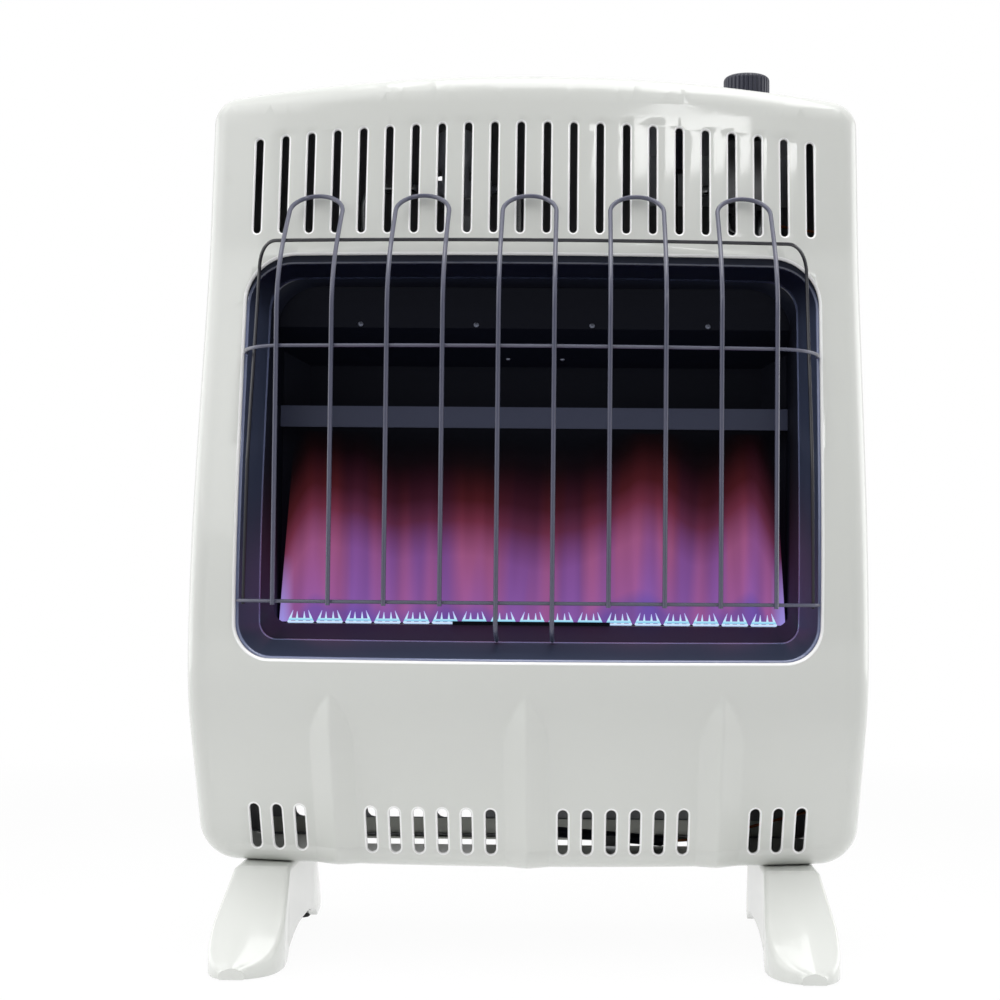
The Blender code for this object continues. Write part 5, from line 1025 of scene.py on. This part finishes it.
# Moulded plastic is black with a low sheen
black_moulding = new_finish("black_moulded_plastic", "#2A2C3A", 0.38)
roughen(black_moulding, 0.0004, 0.00001)
welded_copy("igniter_body", black_moulding)
welded_copy("igniter_button", black_moulding, "igniter_button")

KNOB_PLACE = (KNOB_X, CONTROL_Y, 0.6175)
KNOB_RADIUS = 0.01725
KNOB_SIDE = 0.0236
KNOB_ROUND = 0.0034
FLUTES = 32
FLUTE_DEPTH = 0.0008
# The flutes run out over this much of the rounded top edge
FLUTE_END = 0.002


def knob_ring(lift, drawn_in):
    """A ring of the fluted side at a height, drawn in from the knob's full radius."""
    ring = []
    for angle in [math.tau * k / 384 for k in range(384)]:
        groove = max(0.0, math.cos(angle * FLUTES)) ** 1.5 * FLUTE_DEPTH
        radius = KNOB_RADIUS - drawn_in - groove * max(0.0, 1 - drawn_in / FLUTE_END)
        ring.append((radius * math.cos(angle), radius * math.sin(angle), lift))
    return ring


levels = [(0.0, 0.0), (KNOB_SIDE, 0.0)]
for turn in [math.radians(18 * k) for k in range(1, 6)]:
    levels.append((KNOB_SIDE + KNOB_ROUND * math.sin(turn), KNOB_ROUND * (1 - math.cos(turn))))
bm = bmesh.new()
loft(bm, [knob_ring(*level) for level in levels])
bmesh.ops.translate(bm, verts=bm.verts, vec=KNOB_PLACE)
knob = new_piece("fluted_knob", bm, black_moulding, 45)

# The knob is hollow round a hub, and the hub has a socket for the stem
drills = []
for name, inner, outer, low, high in (
    ("knob_room", 0.006, 0.01395, -0.002, 0.021),
    ("knob_socket", 0.0, 0.0033, -0.002, 0.0123),
):
    bm = bmesh.new()
    profile = [(inner, low), (outer, low), (outer, high), (inner, high)]
    points = [bm.verts.new((radius, 0, height)) for radius, height in profile]
    lines = [bm.edges.new(pair) for pair in zip(points, points[1:])]
    if inner:
        lines.append(bm.edges.new((points[-1], points[0])))
    bmesh.ops.spin(
        bm,
        geom=points + lines,
        cent=(0, 0, 0),
        axis=(0, 0, 1),
        angle=math.tau,
        steps=48,
        use_merge=True,
    )
    bmesh.ops.remove_doubles(bm, verts=bm.verts, dist=0.000001)
    bmesh.ops.recalc_face_normals(bm, faces=bm.faces)
    bmesh.ops.translate(bm, verts=bm.verts, vec=KNOB_PLACE)
    drills.append(new_piece(name, bm, black_moulding))
cut_away(knob, drills)
finish_piece(knob, "knob", ["control_knob"])

# Gas train
# The inlet, regulator and pipes behind the cover: drawn aluminium tube, brass fittings, a die cast
# regulator and a lead in black silicone.

# The regulator's silver lacquer scatters light, so it shows through the slots where bare metal is dark
silver_lacquer = new_finish("silver_lacquered_casting", "#DADDEA", 0.30, Metallic=0.15, Coat_Weight=0.6)
welded_copy("pressure_regulator", silver_lacquer, sharp=30)
dress(zinc, "regulator_bracket", "inlet_bracket")
welded_copy("inlet_fitting", brass, sharp=30)
# Drawn aluminium is pale and bright, with long highlights
aluminium = new_finish("drawn_aluminium", "#C4C6C9", 0.26, Metallic=1.0)
for name in ("inlet_pipe", "supply_pipe", "burner_pipe", "pilot_pipe"):
    welded_copy(name, aluminium, sharp=60)
# Silicone is a matt, dusty black
silicone = new_finish("black_silicone", "#1E1E20", 0.6)
welded_copy("ignition_lead", silicone, sharp=60)

# Thermostat bulb
# A black sleeved bulb in the cool air stream behind the cover. A zinc plated clip holds it, and its
# copper capillary tube runs to the valve.

welded_copy("thermostat_bulb", black_moulding)
welded_copy("capillary_tube", copper, sharp=60)
dress(zinc, "bulb_clip")

# Feet
# Two arched feet of pressed steel in the same cream coat, hollow under the seat of the casing. Each
# stands on a rubber pad under its toe and one under its heel.

FOOT_X = 0.185
FOOT_TOP = 0.0633
FOOT_HALF_WIDTH = 0.0198
TOE_WIDENING = 0.0046
TOE_START = 0.146
TOE_END = 0.218
TOE_LENGTH = TOE_END - TOE_START
TOE_TAPER = 0.036
TOE_DROP = 0.0548
TOE_BEARING = 0.0045
CROWN_DROP = 0.004
HEEL_START = 0.030
HEEL_END = -0.036
HEEL_LENGTH = HEEL_START - HEEL_END
HEEL_DROP = 0.0493
HEEL_NARROWING = 0.0048
SOLE_Z = 0.0010
SOLE_EDGE = 0.0006
ARCH_START = -0.004
ARCH_LENGTH = 0.164
ARCH_RISE = 0.0155
PAD_HEIGHT = 0.0043


def foot_station(depth):
    """Half width, top, shoulder drop and underside of the foot at a depth."""
    top, half = FOOT_TOP, FOOT_HALF_WIDTH
    if depth > TOE_START:
        top -= TOE_DROP * (depth - TOE_START) / TOE_LENGTH
        half += TOE_WIDENING * min(1.0, (depth - TOE_START) / 0.034)
    elif depth < HEEL_START:
        share = (HEEL_START - depth) / HEEL_LENGTH
        top -= HEEL_DROP * share**1.2
        half -= HEEL_NARROWING * share
    left = (TOE_END - depth) / TOE_TAPER
    if left < 1:
        half *= max(0.34, (1 - (1 - left) ** 2.6) ** 0.50)
    bottom = SOLE_Z
    if ARCH_START < depth < ARCH_START + ARCH_LENGTH:
        bottom += ARCH_RISE * (1 - abs(2 * (depth - ARCH_START) / ARCH_LENGTH - 1) ** 2.6)
    crowned = min(1.0, max(0.0, (depth - TOE_START) / 0.04))
    drop = CROWN_DROP * crowned * min(1.0, (top - bottom) / 0.02)
    return half, top, drop, bottom


def foot_section(depth):
    """Flat underside, upright flanks, softly crowned top."""
    half, top, drop, bottom = foot_station(depth)
    edge = min(0.004, half * 0.45, (top - bottom) * 0.45)
    points = [(half - SOLE_EDGE, bottom), (half, bottom + SOLE_EDGE), (half, top - drop - edge)]
    for angle in [math.radians(15 * k) for k in range(1, 7)]:
        points.append((half - edge * (1 - math.cos(angle)), top - drop - edge * (1 - math.sin(angle))))
    for share in [k / 7 for k in range(1, 7)]:
        points.append(((half - edge) * (1 - share), top - drop * (1 - share) ** 1.9))
    return points + [(0, top)] + [(-x, z) for x, z in reversed(points)]


def foot_ring(side, depth):
    """The foot's section at a depth, on a middle line that bears outwards to the toe."""
    narrowing = FOOT_HALF_WIDTH + TOE_WIDENING - foot_station(depth)[0] if depth > 0.18 else 0.0
    outwards = TOE_BEARING * max(0.0, (depth - TOE_START) / TOE_LENGTH)
    middle = side * (FOOT_X + outwards + 0.15 * narrowing)
    return [(middle + x, y_at(depth), z) for x, z in foot_section(depth)]


def pad_pocket(name, x, depth, half_width, half_length):
    """A drill with rounded upright edges, from under the floor to the top of a rubber pad."""
    under = 0.01
    bm = bmesh.new()
    bmesh.ops.create_cube(
        bm,
        matrix=Matrix.Translation((x, y_at(depth), (PAD_HEIGHT - under) / 2))
        @ Matrix.Diagonal((2 * half_width, 2 * half_length, PAD_HEIGHT + under, 1)),
    )
    upright = [e for e in bm.edges if abs(e.verts[0].co.z - e.verts[1].co.z) > 0.001]
    bmesh.ops.bevel(
        bm, geom=upright, offset=0.006, segments=5, profile=0.5, affect="EDGES", material=-1
    )
    return new_piece(name, bm, cream)


def seat_room(x):
    """A drill for the hollow between the pads, with its slanted ends."""
    half_width = 0.0145
    bm = bmesh.new()
    roof = [(0.144, 0.0598), (0.032, 0.0598), (0.011, 0.046)]
    profile = [(0.158, -0.01), (0.158, 0.0456)] + roof + [(0.011, -0.01)]
    face = bm.faces.new([bm.verts.new((x - half_width, y_at(d), z)) for d, z in profile])
    drawn = bmesh.ops.extrude_face_region(bm, geom=[face])["geom"]
    moved = [g for g in drawn if isinstance(g, bmesh.types.BMVert)]
    bmesh.ops.translate(bm, verts=moved, vec=(2 * half_width, 0, 0))
    bmesh.ops.recalc_face_normals(bm, faces=bm.faces)
    return new_piece("foot_room", bm, cream)


# Black rubber is dead matt
rubber = new_finish("black_rubber", "#1A1A1B", 0.8)
roughen(rubber, 0.0008, 0.00003)

stations = [HEEL_END, -0.0355, -0.034] + [-0.031 + 0.003 * k for k in range(82)]
stations += [0.2135, 0.2150, 0.2162, 0.2171, 0.2177, TOE_END]
for side, name in ((-1, "left"), (1, "right")):
    bm = bmesh.new()
    loft(bm, [foot_ring(side, depth) for depth in stations])
    foot = new_piece(f"pressed_{name}_foot", bm, cream, 50)
    toe_x = side * (FOOT_X + 0.005 * 0.034 / TOE_LENGTH)
    drills = [
        seat_room(side * FOOT_X),
        pad_pocket("toe_pocket", toe_x, 0.180, 0.0163, 0.0183),
        pad_pocket("heel_pocket", side * FOOT_X, -0.015, 0.0113, 0.0183),
    ]
    cut_away(foot, drills)
    finish_piece(foot, replaced=[f"{name}_foot"])
    dress(rubber, f"{name}_foot_toe_pad", f"{name}_foot_heel_pad")

# Stage
# The white floor and surround of a catalogue photograph, lit by large soft lamps. The camera
# stands nearly square on, low before the window, and its picture is cropped off centre.

# The floor is plain white to the eye, but sends less light back to the heater the farther it lies
floor_paint = new_finish("white_light_table", "#F4F4F2", 0.9)
tree = floor_paint.node_tree
shader = tree.nodes["Principled BSDF"]
shader.inputs["Emission Color"].default_value = linear("#FFFFFF")
seen = add_node(tree, "LightPath")
white = add_node(tree, "Emission", {"Color": linear("#FFFFFF"), "Strength": 1.0})
spot = add_node(tree, "NewGeometry")
reach = add_node(tree, "VectorMath", {0: spot.outputs["Position"]}, operation="LENGTH")
fade = rescale(tree, reach.outputs["Value"], 0.3, 1.4, 0.93, 1.0)
share = add_node(tree, "Math", {0: seen.outputs["Is Camera Ray"], 1: fade}, operation="MULTIPLY")
# In polished paint the floor mirrors as a plain white table up to the horizon
mirrored = add_node(tree, "Math", {0: seen.outputs["Is Glossy Ray"], 1: share}, operation="MAXIMUM")
dim = rescale(tree, reach.outputs["Value"], 0.4, 1.2, 0.66, 0.22)
near = rescale(tree, reach.outputs["Value"], 0.3, 0.8, 0.26, 0.0)
drive(floor_paint, "Emission Strength", near)
grey = add_node(tree, "CombineXYZ", {axis: dim for axis in "XYZ"})
drive(floor_paint, "Base Color", grey)
mixed = add_node(tree, "MixShader", {"Fac": mirrored, 1: shader, 2: white})
tree.links.new(mixed.outputs["Shader"], tree.nodes["Material Output"].inputs["Surface"])
bm = bmesh.new()
bmesh.ops.create_grid(bm, x_segments=1, y_segments=1, size=40.0)
new_piece("floor", bm, floor_paint)

# The surround is white to the camera, and dimmer behind the camera than behind the heater
world = bpy.data.worlds.new("white_surround")
bpy.context.scene.world = world
world.use_nodes = True
tree = world.node_tree
room = tree.nodes["Background"]
room.inputs["Color"].default_value = linear("#FFFFFF")
seen = add_node(tree, "LightPath")
spot = add_node(tree, "TexCoord")
axes = add_node(tree, "SeparateXYZ", {"Vector": spot.outputs["Generated"]})
around = rescale(tree, axes.outputs["Y"], -1.0, -0.40, 0.02, 0.90)
level = rescale(tree, seen.outputs["Is Camera Ray"], 0.0, 1.0, around, 1.0)
tree.links.new(level.outputs["Result"], room.inputs["Strength"])

# A key lamp, a top lamp, one lamp at each side, and a narrow one for a clear spot by the knob
for name, place, target, size, power in (
    ("key_lamp", (-1.5, -1.1, 1.8), (0.0, 0.0, 0.32), (2.0, 2.0), 16.0),
    ("top_lamp", (0.2, -0.45, 2.1), (0.0, 0.0, 0.32), (1.2, 1.2), 17.0),
    ("left_lamp", (-1.7, 0.35, 0.60), (0.0, 0.0, 0.30), (1.2, 1.2), 6.0),
    ("right_lamp", (1.7, 0.35, 0.60), (0.0, 0.0, 0.30), (1.2, 1.2), 9.0),
    ("strip_lamp", (0.53, -2.2, 1.67), (0.11, -0.04, 0.57), (0.46, 0.12), 2.0),
):
    lamp = bpy.data.lights.new(name, "AREA")
    lamp.shape = "RECTANGLE"
    lamp.size = size[0]
    lamp.size_y = size[1]
    lamp.energy = power
    holder = bpy.data.objects.new(name, lamp)
    aim = Vector(target) - Vector(place)
    holder.matrix_world = Matrix.Translation(place) @ aim.to_track_quat("-Z", "Y").to_matrix().to_4x4()
    bpy.context.scene.collection.objects.link(holder)

lens = bpy.data.cameras.new("camera")
lens.sensor_width = 36.0
lens.lens = 64.26
lens.shift_x = -0.0718
camera = bpy.data.objects.new("camera", lens)
camera.location = (0.0363, -1.310, 0.2745)
camera.rotation_euler = [math.radians(a) for a in (92.135, -0.482, 0.307)]
bpy.context.scene.collection.objects.link(camera)
bpy.context.scene.camera = camera
bpy.context.scene.view_settings.view_transform = "Standard"
